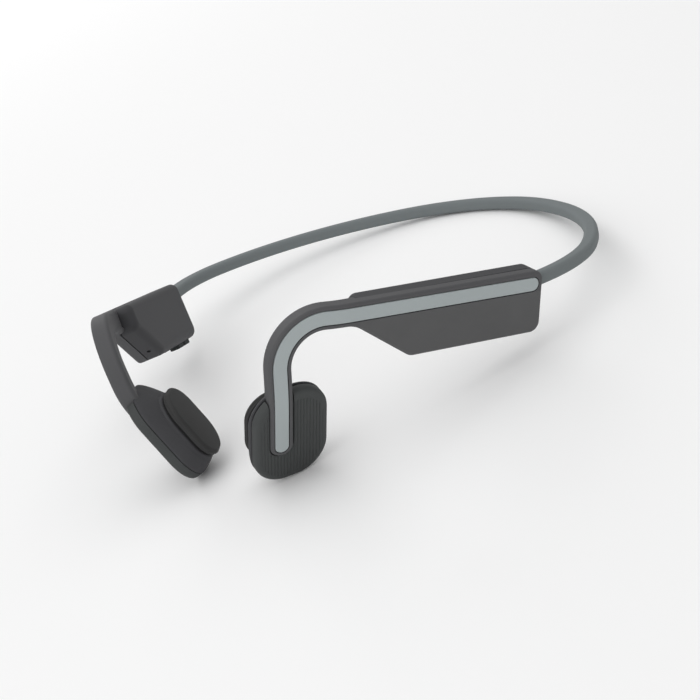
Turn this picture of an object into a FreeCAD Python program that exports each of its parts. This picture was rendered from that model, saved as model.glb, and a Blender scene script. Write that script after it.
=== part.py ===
"""Bone conduction headphones: a springy neckband between two slim pods, each with an ear hook that
carries a vibrating transducer in front of the ear.

Row frame, millimetres: X to the wearer's left, Y backwards, Z up, standing as on a table.
Each side is drawn as the wearer's left in two slanted frames and the right side is its mirror image:
- the pod frame starts where the band enters the pod: x rearwards, y up, z outwards;
- the cap frame starts at the middle of the transducer's outer face: x rearwards, y up the ribs,
  z outwards.
A place on the pod is often given as (forward, up, out), and forward is minus x.
"""

import FreeCAD, Part
import math
import os
import Sketcher
from FreeCAD import Placement, Rotation, Vector

# alias, value in millimetres or degrees, meaning
DIMENSIONS = [
    ("exit_half_width", 64.0, "from the middle plane to the centre of the band where it enters the pod"),
    ("exit_back", -4.51, "that centre's place along Y"),
    ("exit_height", 18.92, "that centre's height above the table"),
    ("pod_toe_in", 27.36, "pod's turn towards the middle at its front"),
    ("pod_nose_up", 19.98, "pod's rise towards its front"),
    ("pod_lean", 6.1, "pod's lean about its own length"),
    ("cap_toe_in", 30.0, "transducer's turn towards the middle at its front"),
    ("cap_nose_up", 10.1, "transducer's rise towards its front"),
    ("cap_lean", 21.7, "transducer's lean, foot inwards"),
    # neckband
    ("band_slope", 11.48, "fall of the band's plane towards the back"),
    ("band_depth", 4.2, "band section, across its plane curve"),
    ("band_tall", 3.6, "band section, square to its plane"),
    ("band_corner", 1.2, "band section corner radius"),
    ("band_entry", 4.0, "length of band held inside the pod"),
    ("band_heading", 27.0, "band's outward heading as it leaves the pod"),
    ("side_bend_radius", 40.0, "band's bend behind the ear"),
    ("side_bend_turn", 45.0, "turn of that bend"),
    ("neck_bend_radius", 84.0, "band's long bend round the neck"),
    ("neck_bend_turn", 44.0, "turn of that bend"),
    ("spring_wire_radius", 0.6, "titanium wire in the band"),
    ("spring_wire_inset", 0.9, "wire's place inwards of the band's centreline"),
    ("cable_radius", 0.5, "signal cable in the band"),
    ("cable_offset", 1.0, "cable's place outwards of the band's centreline"),
    # pod
    ("pod_length", 61.2, "rear face to the end of the arm's root"),
    ("pod_foot_length", 41.5, "rear face to the lower front corner"),
    ("pod_top", 4.2, "top edge above the band's centre"),
    ("pod_bottom", 13.3, "bottom edge below the band's centre"),
    ("root_run", 17.2, "lower front corner to the arm's underside, along the pod"),
    ("shell_front", 57.0, "rear face to the front of the inner shell"),
    ("outer_face", 4.7, "outer face, outwards of the band's centre"),
    ("cover_depth", 3.1, "depth of the outer cover"),
    ("seal_thickness", 0.3, "gasket between cover and inner shell"),
    ("seal_inset", 0.35, "gasket's edge behind the pod's outline"),
    ("shell_depth", 5.6, "depth of the inner shell"),
    ("wall", 1.3, "walls of the cover and of the shell"),
    ("end_radius", 2.6, "rear and front corners of the pod"),
    ("foot_radius", 3.0, "lower rear corner"),
    ("nose_radius", 4.0, "lower front corner"),
    ("root_radius", 8.0, "hollow between the pod's slope and the arm"),
    ("rim_radius", 1.2, "edge of the outer face"),
    ("inner_rim_radius", 2.2, "edge of the inner face"),
    # ear hook
    ("arm_width", 6.4, "arm, across its outer face"),
    ("arm_thickness", 5.0, "arm, from outer to inner face"),
    ("arm_height", 1.2, "arm's centreline above the band's centre"),
    ("arm_root_lap", 3.7, "length of arm inside the pod's outline"),
    ("settle_run", 1.8, "root to the point where the arm starts to lean in"),
    ("settle_radius", 38.0, "bend there"),
    ("arch_run", 18.7, "root to the corner of the arch, along the pod"),
    ("arch_rise", 0.3, "arch corner above the arm's centreline"),
    ("arch_lean", 2.4, "arch corner inwards of the root"),
    ("arch_radius", 12.3, "centreline radius of the arch over the ear"),
    ("tongue_radius", 25.0, "bend where the arm turns along the transducer"),
    ("tongue_bend_up", 14.5, "that bend above the cap's centre"),
    ("tongue_forward", 3.2, "tongue's centreline in front of the cap's centre"),
    ("tongue_down", 4.9, "tongue's tip below the cap's centre"),
    ("tongue_proud", 0.9, "tongue's face above the cap's face"),
    ("hook_wire_radius", 0.5, "titanium wire in the arm"),
    ("hook_wire_start", 50.0, "rear face to the wire's end inside the pod"),
    ("hook_wire_end", 6.0, "wire's end above the tongue's tip"),
    # trim strip
    ("trim_width", 3.8, "light strip along pod and arm"),
    ("trim_thickness", 0.8, "strip thickness"),
    ("trim_gap", 0.2, "dark gap on each side of the strip"),
    ("trim_rear", 1.2, "pod's rear face to the strip's round end"),
    ("trim_rear_drop", 3.65, "strip's centreline below the pod's top edge at the rear"),
    ("trim_margin", 1.0, "strip's lower end above the tongue's tip"),
    # transducer
    ("cap_forward", 11.43, "arm's root to the cap's centre, along the pod"),
    ("cap_drop", 32.4, "cap's centre below the band's centre"),
    ("cap_inward", 2.5, "cap's centre inwards of the band's centre"),
    ("cap_width", 21.5, "cap, front to rear"),
    ("cap_tall", 29.5, "cap, along the ribs"),
    ("cap_corner", 9.2, "corner radius of the cap's outline"),
    ("cap_edge", 0.9, "rounded edge of the cap's face"),
    ("cap_thickness", 2.55, "thickness of the button cap"),
    ("press_gap", 0.45, "gap under the button cap"),
    ("slot_gap", 0.45, "gap round the tongue in the button cap"),
    ("fixed_slot_gap", 0.34, "gap round the tongue in the fixed cap"),
    ("rib_pitch", 0.95, "from rib to rib"),
    ("rib_groove", 0.42, "width of the groove between two ribs"),
    ("rib_depth", 0.35, "height of the ribs"),
    ("rib_shoulder", 2.2, "plain margin above and below the ribs"),
    ("housing_depth", 5.2, "driver housing, outer to inner rim"),
    ("housing_floor", 1.2, "floor of the driver housing"),
    ("pad_width", 18.0, "contact pad, front to rear"),
    ("pad_tall", 21.5, "contact pad, along the ribs"),
    ("pad_corner", 7.6, "corner radius of the pad's outline"),
    ("pad_drop", 2.25, "pad's centre below the cap's centre"),
    ("pad_thickness", 2.3, "contact pad"),
    ("pad_edge", 1.5, "rounded edge of the pad's face"),
    ("surround_thickness", 0.3, "soft ring between housing and pad"),
    ("surround_inset", 0.8, "ring's edge behind the pad's outline"),
    ("pad_gap", 0.2, "clearance between the ring and the vibrating pad"),
    ("bore_radius", 7.4, "driver's bore in the housing"),
    ("yoke_radius", 7.1, "steel yoke"),
    ("yoke_wall", 0.6, "yoke's rim"),
    ("yoke_floor", 1.0, "yoke's back plate"),
    ("yoke_height", 3.1, "yoke's whole height"),
    ("magnet_radius", 5.0, "driver magnet"),
    ("magnet_height", 1.4, "driver magnet height"),
    ("plate_radius", 5.2, "pole plate"),
    ("plate_height", 0.8, "pole plate thickness"),
    ("coil_radius", 5.85, "mean radius of the voice coil"),
    ("coil_wall", 0.5, "wall of the voice coil"),
    ("coil_height", 1.3, "voice coil height"),
    ("leaf_thickness", 0.2, "leaf spring ring"),
    # inside the left pod
    ("battery_start", 9.0, "pod's rear face to the cell"),
    ("battery_length", 32.0, "lithium cell, along the pod"),
    ("battery_height", 11.0, "lithium cell, across the pod"),
    ("battery_thickness", 4.4, "lithium cell thickness"),
    ("battery_up", 1.4, "cell's top above the band's centre"),
    ("foam_thickness", 0.5, "foam under the cell"),
    ("switch_size", 4.0, "dome switch under the button cap"),
    ("switch_height", 0.6, "dome switch height"),
    # inside the right pod
    ("board_start", 8.0, "pod's rear face to the circuit board"),
    ("board_length", 35.0, "circuit board, along the pod"),
    ("board_height", 10.0, "circuit board, across the pod"),
    ("board_thickness", 0.8, "circuit board thickness"),
    ("board_up", 1.5, "board's top above the band's centre"),
    ("board_standoff", 3.5, "shell's inside to the board's inner face"),
    ("post_radius", 1.0, "post that holds the board"),
    ("post_inset", 2.0, "post's centre from the board's end, and below the band's centre"),
    ("button_start", 6.5, "pod's rear face to the first volume button"),
    ("button_length", 6.6, "volume button, along the pod"),
    ("button_width", 3.2, "volume button, across the pod's thickness"),
    ("button_pitch", 7.4, "from one volume button to the next"),
    ("button_proud", 1.2, "volume button below the pod's bottom"),
    ("button_gap", 0.2, "clearance round a button"),
    ("button_flange", 0.5, "flange that keeps the button in"),
    ("volume_travel", 0.4, "travel of a volume button"),
    ("side_switch_gap", 0.05, "clearance between a pressed volume button and its switch"),
    ("side_switch_height", 3.0, "side switch, along the button's travel"),
    ("side_switch_depth", 2.0, "side switch, from the board"),
    ("port_start", 27.0, "pod's rear face to the charging port"),
    ("port_width", 8.9, "charging port, along the pod"),
    ("port_height", 3.2, "charging port, across the pod's thickness"),
    ("port_depth", 7.3, "charging port's socket depth"),
    ("port_metal", 0.3, "wall of the socket's steel shell"),
    ("port_corner", 1.12, "corner radius of the socket's steel shell"),
    ("contact_margin", 1.2, "socket's outside to the contact tongue's side"),
    ("contact_thickness", 0.6, "contact tongue in the socket"),
    ("port_setback", 0.5, "socket's mouth above the flap"),
    ("flap_margin", 1.6, "flap beyond the port on every side along the pod"),
    ("flap_thickness", 0.8, "port flap"),
    ("flap_gap", 0.15, "clearance round the flap"),
    ("light_forward", 23.6, "pod's rear face to the status light"),
    ("light_radius", 0.6, "status light"),
    ("light_length", 1.95, "status light's length, up from the pod's bottom"),
    ("mic_hole_radius", 0.6, "microphone's sound hole"),
    ("mic_radius", 2.0, "microphone capsule"),
    ("mic_height", 1.4, "microphone capsule height"),
    ("mic_gap", 0.13, "pod's wall to the microphone capsule"),
    ("mic_rise", 4.5, "sound hole from the lower front corner, up the slope"),
]

RIB_GROOVES = 20  # grooves across the cap


class Size:
    """A length or an angle that keeps both its value and the sheet formula it comes from."""

    def __init__(self, value, formula):
        self.value = float(value)
        self.formula = formula

    def _join(self, other, sign, value):
        other_formula = other.formula if isinstance(other, Size) else repr(float(other))
        return Size(value, f"({self.formula} {sign} {other_formula})")

    def __add__(self, other):
        return self._join(other, "+", self.value + number(other))

    def __sub__(self, other):
        return self._join(other, "-", self.value - number(other))

    def __mul__(self, other):
        return self._join(other, "*", self.value * number(other))

    def __truediv__(self, other):
        return self._join(other, "/", self.value / number(other))

    def __neg__(self):
        return Size(-self.value, f"(0 - {self.formula})")


def number(size):
    """Return the plain number behind a Size, or the number itself."""
    return size.value if isinstance(size, Size) else float(size)


class Sizes:
    """The sheet's driving dimensions, one attribute for each alias."""

    def __init__(self, document):
        sheet = document.addObject("Spreadsheet::Sheet", "Sizes")
        for row, (alias, value, meaning) in enumerate(DIMENSIONS, start=1):
            sheet.set(f"A{row}", meaning)
            sheet.set(f"B{row}", str(value))
            sheet.setAlias(f"B{row}", alias)
            setattr(self, alias, Size(value, f"Sizes.{alias}"))


document = FreeCAD.newDocument("headphones")
sizes = Sizes(document)
document.recompute()
NOTHING = Size(0.0, "0")


# ---------------------------------------------------------------- frames

def slanted(origin, toe_in, nose_up, lean):
    """Placement of a slanted frame of the left side: x rearwards, y up, z outwards."""
    upright = Rotation(Vector(0, 1, 0), Vector(0, 0, 1), Vector(1, 0, 0), "XYZ")
    turn = Rotation(Vector(0, 0, 1), -number(toe_in))
    rise = Rotation(Vector(1, 0, 0), -number(nose_up))
    tilt = Rotation(Vector(0, 1, 0), number(lean))
    return Placement(origin, turn * rise * tilt * upright)


BAND_EXIT = Vector(number(sizes.exit_half_width), number(sizes.exit_back), number(sizes.exit_height))
POD = slanted(BAND_EXIT, sizes.pod_toe_in, sizes.pod_nose_up, sizes.pod_lean)


def pod_point(forward, up, out):
    """Row-frame point for a place on the left pod."""
    return POD.multVec(Vector(-number(forward), number(up), number(out)))


CAP_CENTRE = pod_point(sizes.pod_length + sizes.cap_forward, -sizes.cap_drop, -sizes.cap_inward)
CAP = slanted(CAP_CENTRE, sizes.cap_toe_in, sizes.cap_nose_up, sizes.cap_lean)


def cap_point(forward, up, out):
    """Row-frame point for a place on the left transducer."""
    return CAP.multVec(Vector(-number(forward), number(up), number(out)))


# ---------------------------------------------------------------- parametric helpers

def drive(thing, name, size):
    """Bind a property or a sketch constraint to its formula."""
    thing.setExpression(name, size.formula)


def new_body(name, frame):
    """PartDesign body standing in a slanted frame."""
    body = document.addObject("PartDesign::Body", name)
    body.Placement = frame
    return body


def sketch_on(body, name, level):
    """Sketch on the body's own XY plane, raised to a level along z."""
    sketch = body.newObject("Sketcher::SketchObject", name)
    plane = next(item for item in body.Origin.OriginFeatures if item.Role == "XY_Plane")
    sketch.AttachmentSupport = [(plane, "")]
    sketch.MapMode = "FlatFace"
    drive(sketch, "AttachmentOffset.Base.z", level)
    return sketch


def pin_point(sketch, geometry, corner, across, up):
    """Hold a corner of the sketch at its two driven distances from the origin."""
    for kind, size in (("DistanceX", across), ("DistanceY", up)):
        index = sketch.addConstraint(Sketcher.Constraint(kind, -1, 1, geometry, corner, number(size)))
        drive(sketch, f"Constraints[{index}]", size)


def polygon(sketch, points):
    """Closed outline through driven points."""
    corners = [Vector(number(across), number(up), 0) for across, up in points]
    count = len(points)
    first = sketch.GeometryCount
    for index in range(count):
        sketch.addGeometry(Part.LineSegment(corners[index], corners[(index + 1) % count]), False)
    for index in range(count):
        following = first + (index + 1) % count
        sketch.addConstraint(Sketcher.Constraint("Coincident", first + index, 2, following, 1))
    for index, (across, up) in enumerate(points):
        pin_point(sketch, first + index, 1, across, up)


def rectangle(sketch, left, right, low, high):
    """Closed rectangle between driven sides."""
    polygon(sketch, [(left, low), (right, low), (right, high), (left, high)])


def rounded_rectangle(sketch, sides, radius):
    """Closed rectangle between driven sides (left, right, low, high) with one driven corner radius."""
    left, right, low, high = [number(side) for side in sides]
    bend = number(radius)
    corners = [(right - bend, low + bend), (right - bend, high - bend),
               (left + bend, high - bend), (left + bend, low + bend)]
    for quarter, (across, up) in enumerate(corners):
        heading = math.radians(90 * quarter - 90)
        back = corners[quarter - 1]
        reach = Vector(math.cos(heading), math.sin(heading), 0) * bend
        centre = Vector(across, up, 0)
        sketch.addGeometry(Part.LineSegment(Vector(*back, 0) + reach, centre + reach), False)
        arc = Part.ArcOfCircle(Part.Circle(centre, Vector(0, 0, 1), bend), heading,
                               heading + math.radians(90))
        sketch.addGeometry(arc, False)
    for index in range(8):
        sketch.addConstraint(Sketcher.Constraint("Tangent", index, 2, (index + 1) % 8, 1))
    for line, kind in ((0, "Horizontal"), (2, "Vertical"), (4, "Horizontal"), (6, "Vertical")):
        sketch.addConstraint(Sketcher.Constraint(kind, line))
    for line, kind, size in ((0, "DistanceY", sides[2]), (2, "DistanceX", sides[1]),
                             (4, "DistanceY", sides[3]), (6, "DistanceX", sides[0])):
        index = sketch.addConstraint(Sketcher.Constraint(kind, -1, 1, line, 1, number(size)))
        drive(sketch, f"Constraints[{index}]", size)
    for arc in (1, 3, 5, 7):
        index = sketch.addConstraint(Sketcher.Constraint("Radius", arc, bend))
        drive(sketch, f"Constraints[{index}]", radius)


def circle(sketch, across, up, radius):
    """Circle with a driven centre and radius."""
    centre = Vector(number(across), number(up), 0)
    index = sketch.addGeometry(Part.Circle(centre, Vector(0, 0, 1), number(radius)), False)
    pin_point(sketch, index, 3, across, up)
    constraint = sketch.addConstraint(Sketcher.Constraint("Radius", index, number(radius)))
    drive(sketch, f"Constraints[{constraint}]", radius)


def pad(body, sketch, length):
    """Pad along +z."""
    feature = body.newObject("PartDesign::Pad", sketch.Name + "_pad")
    feature.Profile = sketch
    drive(feature, "Length", length)
    sketch.Visibility = False
    document.recompute()
    return feature


def pocket(body, sketch, depth, upwards=False):
    """Pocket down from its sketch, or upwards, checked to remove material."""
    before = body.Tip.Shape.Volume
    feature = body.newObject("PartDesign::Pocket", sketch.Name + "_pocket")
    feature.Profile = sketch
    feature.Reversed = upwards
    drive(feature, "Length", depth)
    document.recompute()
    if feature.Shape.Volume >= before - 1e-6:
        raise RuntimeError(f"{feature.Name} removes nothing")
    return feature


def edges_where(feature, wanted):
    """Names of the feature's edges that pass a test."""
    return [f"Edge{index}" for index, edge in enumerate(feature.Shape.Edges, start=1) if wanted(edge)]


def fillet(body, name, radius, wanted):
    """Round the edges of the body's tip that pass a test."""
    tip = body.Tip
    feature = body.newObject("PartDesign::Fillet", name)
    feature.Base = (tip, edges_where(tip, wanted))
    drive(feature, "Radius", radius)
    document.recompute()
    return feature


def upright_at(across, up):
    """Test for the edge along z at a corner of the outline."""
    def wanted(edge):
        low, high = edge.BoundBox.ZMin, edge.BoundBox.ZMax
        middle = edge.BoundBox.Center
        close = math.hypot(middle.x - number(across), middle.y - number(up)) < 0.05
        return close and high - low > 0.1 and edge.BoundBox.XLength < 0.01
    return wanted


def level_at(level, keep=lambda centre: True):
    """Test for the edges that lie at one level along z."""
    def wanted(edge):
        flat = edge.BoundBox.ZLength < 1e-4 and abs(edge.BoundBox.ZMin - number(level)) < 1e-4
        return flat and keep(edge.BoundBox.Center)
    return wanted


def round_corners(body, corners):
    """Fillet upright edges: a list of (name, radius, (across, up))."""
    for name, radius, (across, up) in corners:
        fillet(body, f"{body.Name}_{name}", radius, upright_at(across, up))


def rounded_block(body, name, level, height, width, tall, corner, centre_up):
    """Pad a rounded rectangle about x = 0 and y = centre_up."""
    sketch = sketch_on(body, f"{body.Name}_{name}", level)
    sides = (-width / 2, width / 2, centre_up - tall / 2, centre_up + tall / 2)
    rounded_rectangle(sketch, sides, corner)
    pad(body, sketch, height)


def box(name, frame, start, size):
    """Part box in a slanted frame from driven starts and sizes along x, y and z."""
    block = document.addObject("Part::Box", name)
    for side, length in zip(("Length", "Width", "Height"), size):
        drive(block, side, length)
    block.Placement = frame * Placement(Vector(*[number(value) for value in start]), Rotation())
    return block


def cylinder(name, frame, start, radius, length, rotation=Rotation()):
    """Part cylinder in a slanted frame, its axis along the frame's z unless rotated."""
    rod = document.addObject("Part::Cylinder", name)
    drive(rod, "Radius", radius)
    drive(rod, "Height", length)
    rod.Placement = frame * Placement(Vector(*[number(value) for value in start]), rotation)
    return rod


def cut(name, base, tool):
    """Boolean cut as a document object."""
    result = document.addObject("Part::Cut", name)
    result.Base = base
    result.Tool = tool
    return result


def carve(name, base, tools):
    """Cut several tools from a base, one after another."""
    for index, tool in enumerate(tools, start=1):
        step = name if index == len(tools) else f"{name}_step_{index}"
        base = cut(step, base, tool)
    return base


def fuse(name, pieces):
    """Boolean fusion as a document object."""
    result = document.addObject("Part::MultiFuse", name)
    result.Shapes = pieces
    return result


def solid(name, shape):
    """Plain feature for a shape made with Part's own functions."""
    feature = document.addObject("Part::Feature", name)
    feature.Shape = shape
    return feature


PIECES = {}


def piece(name, feature):
    """Name a finished sub-part; its label is the node's name."""
    feature.Label = name
    PIECES[name] = feature
    return feature


def mirrored(name, feature):
    """The right-hand twin of a left-hand feature."""
    twin = document.addObject("Part::Mirroring", name + "_mirror")
    twin.Source = feature
    twin.Base = (0, 0, 0)
    twin.Normal = (1, 0, 0)
    return piece(name, twin)


# ---------------------------------------------------------------- bars along a route

def route(points, radii):
    """Straight runs joined by tangent arcs, as ("run", vector) and ("bend", centre, axis, angle)."""
    legs = []
    position = points[0]
    for before, corner, after, radius in zip(points, points[1:], points[2:], radii):
        arriving = (corner - before).normalize()
        leaving = (after - corner).normalize()
        axis = arriving.cross(leaving).normalize()
        angle = arriving.getAngle(leaving)
        tangent = radius * math.tan(angle / 2)
        bend_start = corner - arriving * tangent
        legs.append(("run", bend_start - position))
        legs.append(("bend", bend_start + axis.cross(arriving) * radius, axis, math.degrees(angle)))
        position = corner + leaving * tangent
    legs.append(("run", points[-1] - position))
    return legs


def follow(section, legs, out):
    """Sweep a face along the legs; return the solid, the face at the far end and the turned out."""
    solids = []
    for leg in legs:
        if leg[0] == "run":
            solids.append(section.extrude(leg[1]))
            section = section.translated(leg[1])
        else:
            _, centre, axis, angle = leg
            solids.append(section.revolve(centre, axis, angle))
            section = section.rotated(centre, axis, angle)
            out = Rotation(axis, angle).multVec(out)
    whole = solids[0].multiFuse(solids[1:]) if len(solids) > 1 else solids[0]
    return whole.removeSplitter(), section, out


def bar_section(width, thickness, radius, at, heading, out, shift=0.0, half=False):
    """Face square to heading: width across, thickness along out, both about the point at."""
    side = out.cross(heading).normalize()
    low = 0.0 if half else -width / 2
    outline = Part.makePlane(width / 2 - low, thickness, Vector(low, shift - thickness / 2, 0))
    if radius > 0:
        bar = outline.extrude(Vector(0, 0, 1))
        rounded = [edge for edge in bar.Edges if edge.BoundBox.ZLength > 0.5
                   and (not half or edge.BoundBox.XMin > low + 0.01)]
        bar = bar.makeFillet(radius, rounded)
        outline = next(face for face in bar.Faces if face.BoundBox.ZMax < 0.01)
    turned = Rotation(side, out, heading, "ZYX")
    return outline.transformed(Placement(at, turned).toMatrix(), copy=True)


def round_section(radius, at, heading):
    """Disc square to heading."""
    return Part.Face(Part.Wire(Part.makeCircle(radius, at, heading)))


def solid_of(shape):
    """The single solid inside a compound."""
    return shape.Solids[0] if len(shape.Solids) == 1 else shape


# ---------------------------------------------------------------- ear hook, trim and hook wire

def arm_points(start):
    """Centreline of the arm from a place on the pod to the tongue's last straight point."""
    root = sizes.pod_length
    middle = number(sizes.outer_face) - number(sizes.arm_thickness) / 2
    tongue_out = number(sizes.tongue_proud) - number(sizes.arm_thickness) / 2
    tip_up = number(sizes.arm_width) / 2 - number(sizes.tongue_down)
    return [
        pod_point(start, arm_up(start), middle),
        pod_point(root + sizes.settle_run, sizes.arm_height, middle),
        pod_point(root + sizes.arch_run, sizes.arm_height + sizes.arch_rise,
                  middle - number(sizes.arch_lean)),
        cap_point(sizes.tongue_forward, sizes.tongue_bend_up, tongue_out),
        cap_point(sizes.tongue_forward, tip_up, tongue_out),
    ]


def arm_up(start):
    """Height of the strip's and the arm's shared centreline at a place along the pod."""
    rear = number(sizes.pod_top) - number(sizes.trim_rear_drop)
    full = number(sizes.pod_length + sizes.settle_run)
    return rear + (number(sizes.arm_height) - rear) * number(start) / full


ARM_RADII = [number(sizes.settle_radius), number(sizes.arch_radius), number(sizes.tongue_radius)]


def along_arm(start, width, thickness, radius, shift, short_of_tip, round_start=False):
    """Bar on the arm's route; shift moves it outwards; its lower end is round."""
    points = arm_points(start)
    final = (points[-1] - points[-2]).normalize()
    points[-1] = points[-1] - final * (short_of_tip + width / 2 - number(sizes.arm_width) / 2)
    out = POD.Rotation.multVec(Vector(0, 0, 1))
    heading = (points[1] - points[0]).normalize()
    legs = route(points, ARM_RADII)
    section = bar_section(width, thickness, radius, points[0], heading, out, shift)
    half = bar_section(width, thickness, radius, points[0], heading, out, shift, half=True)
    bar, _, _ = follow(section, legs, out)
    _, end_half, end_out = follow(half, legs, out)
    parts = [end_half.revolve(points[-1], end_out, 360)]
    if round_start:
        parts.append(half.revolve(points[0], out, 360))
    return solid_of(bar.multiFuse(parts).removeSplitter())


ARM_START = number(sizes.pod_length - sizes.arm_root_lap)
TRIM_START = number(sizes.trim_rear + sizes.trim_width / 2)
TRIM_SHIFT = number(sizes.arm_thickness - sizes.trim_thickness) / 2
arm = solid("arm", along_arm(ARM_START, number(sizes.arm_width), number(sizes.arm_thickness),
                             number(sizes.rim_radius), 0.0, 0.0))
trim = solid("trim", along_arm(TRIM_START, number(sizes.trim_width), number(sizes.trim_thickness), 0.0,
                               TRIM_SHIFT, number(sizes.trim_margin), round_start=True))
trim_bed = solid("trim_bed", along_arm(TRIM_START, number(sizes.trim_width + sizes.trim_gap * 2),
                                       number(sizes.trim_thickness), 0.0, TRIM_SHIFT,
                                       number(sizes.trim_margin - sizes.trim_gap), round_start=True))


def hook_wire_shape():
    """Titanium wire down the middle of the arm."""
    points = arm_points(number(sizes.hook_wire_start))
    final = (points[-1] - points[-2]).normalize()
    points[-1] = points[-1] - final * number(sizes.hook_wire_end)
    heading = (points[1] - points[0]).normalize()
    section = round_section(number(sizes.hook_wire_radius), points[0], heading)
    wire, _, _ = follow(section, route(points, ARM_RADII), heading)
    return solid_of(wire)


hook_wire = solid("hook_wire", hook_wire_shape())


# ---------------------------------------------------------------- neckband

def band_frame():
    """The band's heading where it leaves the pod, and the normal of its plane."""
    slope = Rotation(Vector(1, 0, 0), -number(sizes.band_slope))
    level_heading = Rotation(Vector(0, 0, 1), -number(sizes.band_heading)).multVec(Vector(0, 1, 0))
    return slope.multVec(level_heading), slope.multVec(Vector(0, 0, 1))


def add_bend(legs, position, heading, normal, radius, turn):
    """Add an inward bend and return where it ends and its heading there."""
    centre = position + normal.cross(heading) * radius
    legs.append(("bend", centre, normal, turn))
    rotation = Rotation(normal, turn)
    return centre + rotation.multVec(position - centre), rotation.multVec(heading)


def band_legs():
    """Legs of the left half of the band, from inside the pod to the middle plane."""
    heading, normal = band_frame()
    start = BAND_EXIT - heading * number(sizes.band_entry)
    legs = [("run", BAND_EXIT - start)]
    position = BAND_EXIT
    turned = -number(sizes.band_heading)
    for radius, turn in ((sizes.side_bend_radius, sizes.side_bend_turn),
                         (sizes.neck_bend_radius, sizes.neck_bend_turn)):
        position, heading = add_bend(legs, position, heading, normal, number(radius), number(turn))
        turned += number(turn)
    last_radius = position.x / math.cos(math.radians(turned))
    add_bend(legs, position, heading, normal, last_radius, 90 - turned)
    return start, legs


def along_band(section_at):
    """Sweep a section along the left half of the band."""
    heading, normal = band_frame()
    start, legs = band_legs()
    shape, _, _ = follow(section_at(start, heading, normal), legs, normal)
    return solid_of(shape)


def sleeve_section(start, heading, normal):
    """Rounded rectangle: depth in the band's plane, height square to it."""
    return bar_section(number(sizes.band_depth), number(sizes.band_tall), number(sizes.band_corner),
                       start, heading, normal)


def core_section(offset, radius):
    """Round section beside the band's centreline, outwards when positive."""
    def section(start, heading, normal):
        return round_section(number(radius), start + heading.cross(normal) * number(offset), heading)
    return section


band_core = solid("band_core", along_band(sleeve_section))
band_wire = solid("band_wire", along_band(core_section(-sizes.spring_wire_inset,
                                                       sizes.spring_wire_radius)))
band_cable = solid("band_cable", along_band(core_section(sizes.cable_offset, sizes.cable_radius)))
band_sleeve = cut("band_sleeve", band_core, fuse("sleeve_filling", [band_wire, band_cable]))


# ---------------------------------------------------------------- pod cover, shell and gasket

PARTING = sizes.outer_face - sizes.cover_depth
SHELL_TOP = PARTING - sizes.seal_thickness
SHELL_FACE = SHELL_TOP - sizes.shell_depth
ARM_UNDERSIDE = sizes.arm_height - sizes.arm_width / 2
ROOT_FORWARD = sizes.pod_foot_length + sizes.root_run
SLOPE = (ARM_UNDERSIDE + sizes.pod_bottom) / sizes.root_run
# An edge set in from the slope is this much higher, for each millimetre of inset.
SLOPE_LIFT = math.hypot(1, number(SLOPE))


def slope_up(forward):
    """Height of the pod's sloping lower front edge at a place along it."""
    return (forward - sizes.pod_foot_length) * SLOPE - sizes.pod_bottom


def pod_cover():
    """Outer cover with its hollow, before the arm joins it."""
    body = new_body("pod_cover", POD)
    arm_top = sizes.arm_height + sizes.arm_width / 2
    rear_top = (NOTHING, sizes.pod_top)
    rear_foot = (NOTHING, -sizes.pod_bottom)
    nose = (-sizes.pod_foot_length, -sizes.pod_bottom)
    root = (-ROOT_FORWARD, ARM_UNDERSIDE)
    front = -sizes.pod_length
    outline = sketch_on(body, "cover_outline", PARTING)
    polygon(outline, [rear_top, (front, arm_top), (front, ARM_UNDERSIDE), root, nose, rear_foot])
    pad(body, outline, sizes.cover_depth)
    round_corners(body, [("rear_corner", sizes.end_radius, rear_top),
                         ("foot_corner", sizes.foot_radius, rear_foot),
                         ("nose_corner", sizes.nose_radius, nose),
                         ("root_hollow", sizes.root_radius, root)])
    fillet(body, "cover_rim", sizes.rim_radius,
           level_at(sizes.outer_face, lambda centre: centre.x > number(front) + 0.01))
    hollow = sketch_on(body, "cover_hollow", PARTING)
    hollow_front = sizes.shell_front - sizes.wall
    high = sizes.pod_top - sizes.wall
    low = sizes.wall - sizes.pod_bottom
    polygon(hollow, [(-sizes.wall, high), (-hollow_front, high),
                     (-hollow_front, slope_up(hollow_front) + sizes.wall),
                     (-sizes.pod_foot_length, low), (-sizes.wall, low)])
    pocket(body, hollow, sizes.cover_depth - sizes.wall, upwards=True)
    return body


def shell_points(inset):
    """Outline of the inner shell, set in by a distance."""
    front = sizes.shell_front - inset
    top = sizes.pod_top - inset
    low = inset - sizes.pod_bottom
    nose_back = inset * ((SLOPE_LIFT - 1) / number(SLOPE))
    return [(-inset, top), (-front, top), (-front, slope_up(front) + inset * SLOPE_LIFT),
            (nose_back - sizes.pod_foot_length, low), (-inset, low)]


def round_shell_corners(body, points):
    """Fillet the upright corners of the shell's outline."""
    rear_top, front_top, front_low, nose, foot = points
    round_corners(body, [("rear_corner", sizes.end_radius, rear_top),
                         ("front_corner", sizes.end_radius, front_top),
                         ("root_corner", sizes.end_radius, front_low),
                         ("nose_corner", sizes.nose_radius, nose),
                         ("foot_corner", sizes.foot_radius, foot)])


def pod_shell():
    """Inner shell, open towards the cover."""
    body = new_body("pod_shell", POD)
    outline = sketch_on(body, "shell_outline", SHELL_FACE)
    points = shell_points(NOTHING)
    polygon(outline, points)
    pad(body, outline, sizes.shell_depth)
    round_shell_corners(body, points)
    fillet(body, "shell_rim", sizes.inner_rim_radius, level_at(SHELL_FACE))
    hollow = sketch_on(body, "shell_hollow", SHELL_TOP)
    polygon(hollow, shell_points(sizes.wall))
    pocket(body, hollow, sizes.shell_depth - sizes.wall)
    return body


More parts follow.
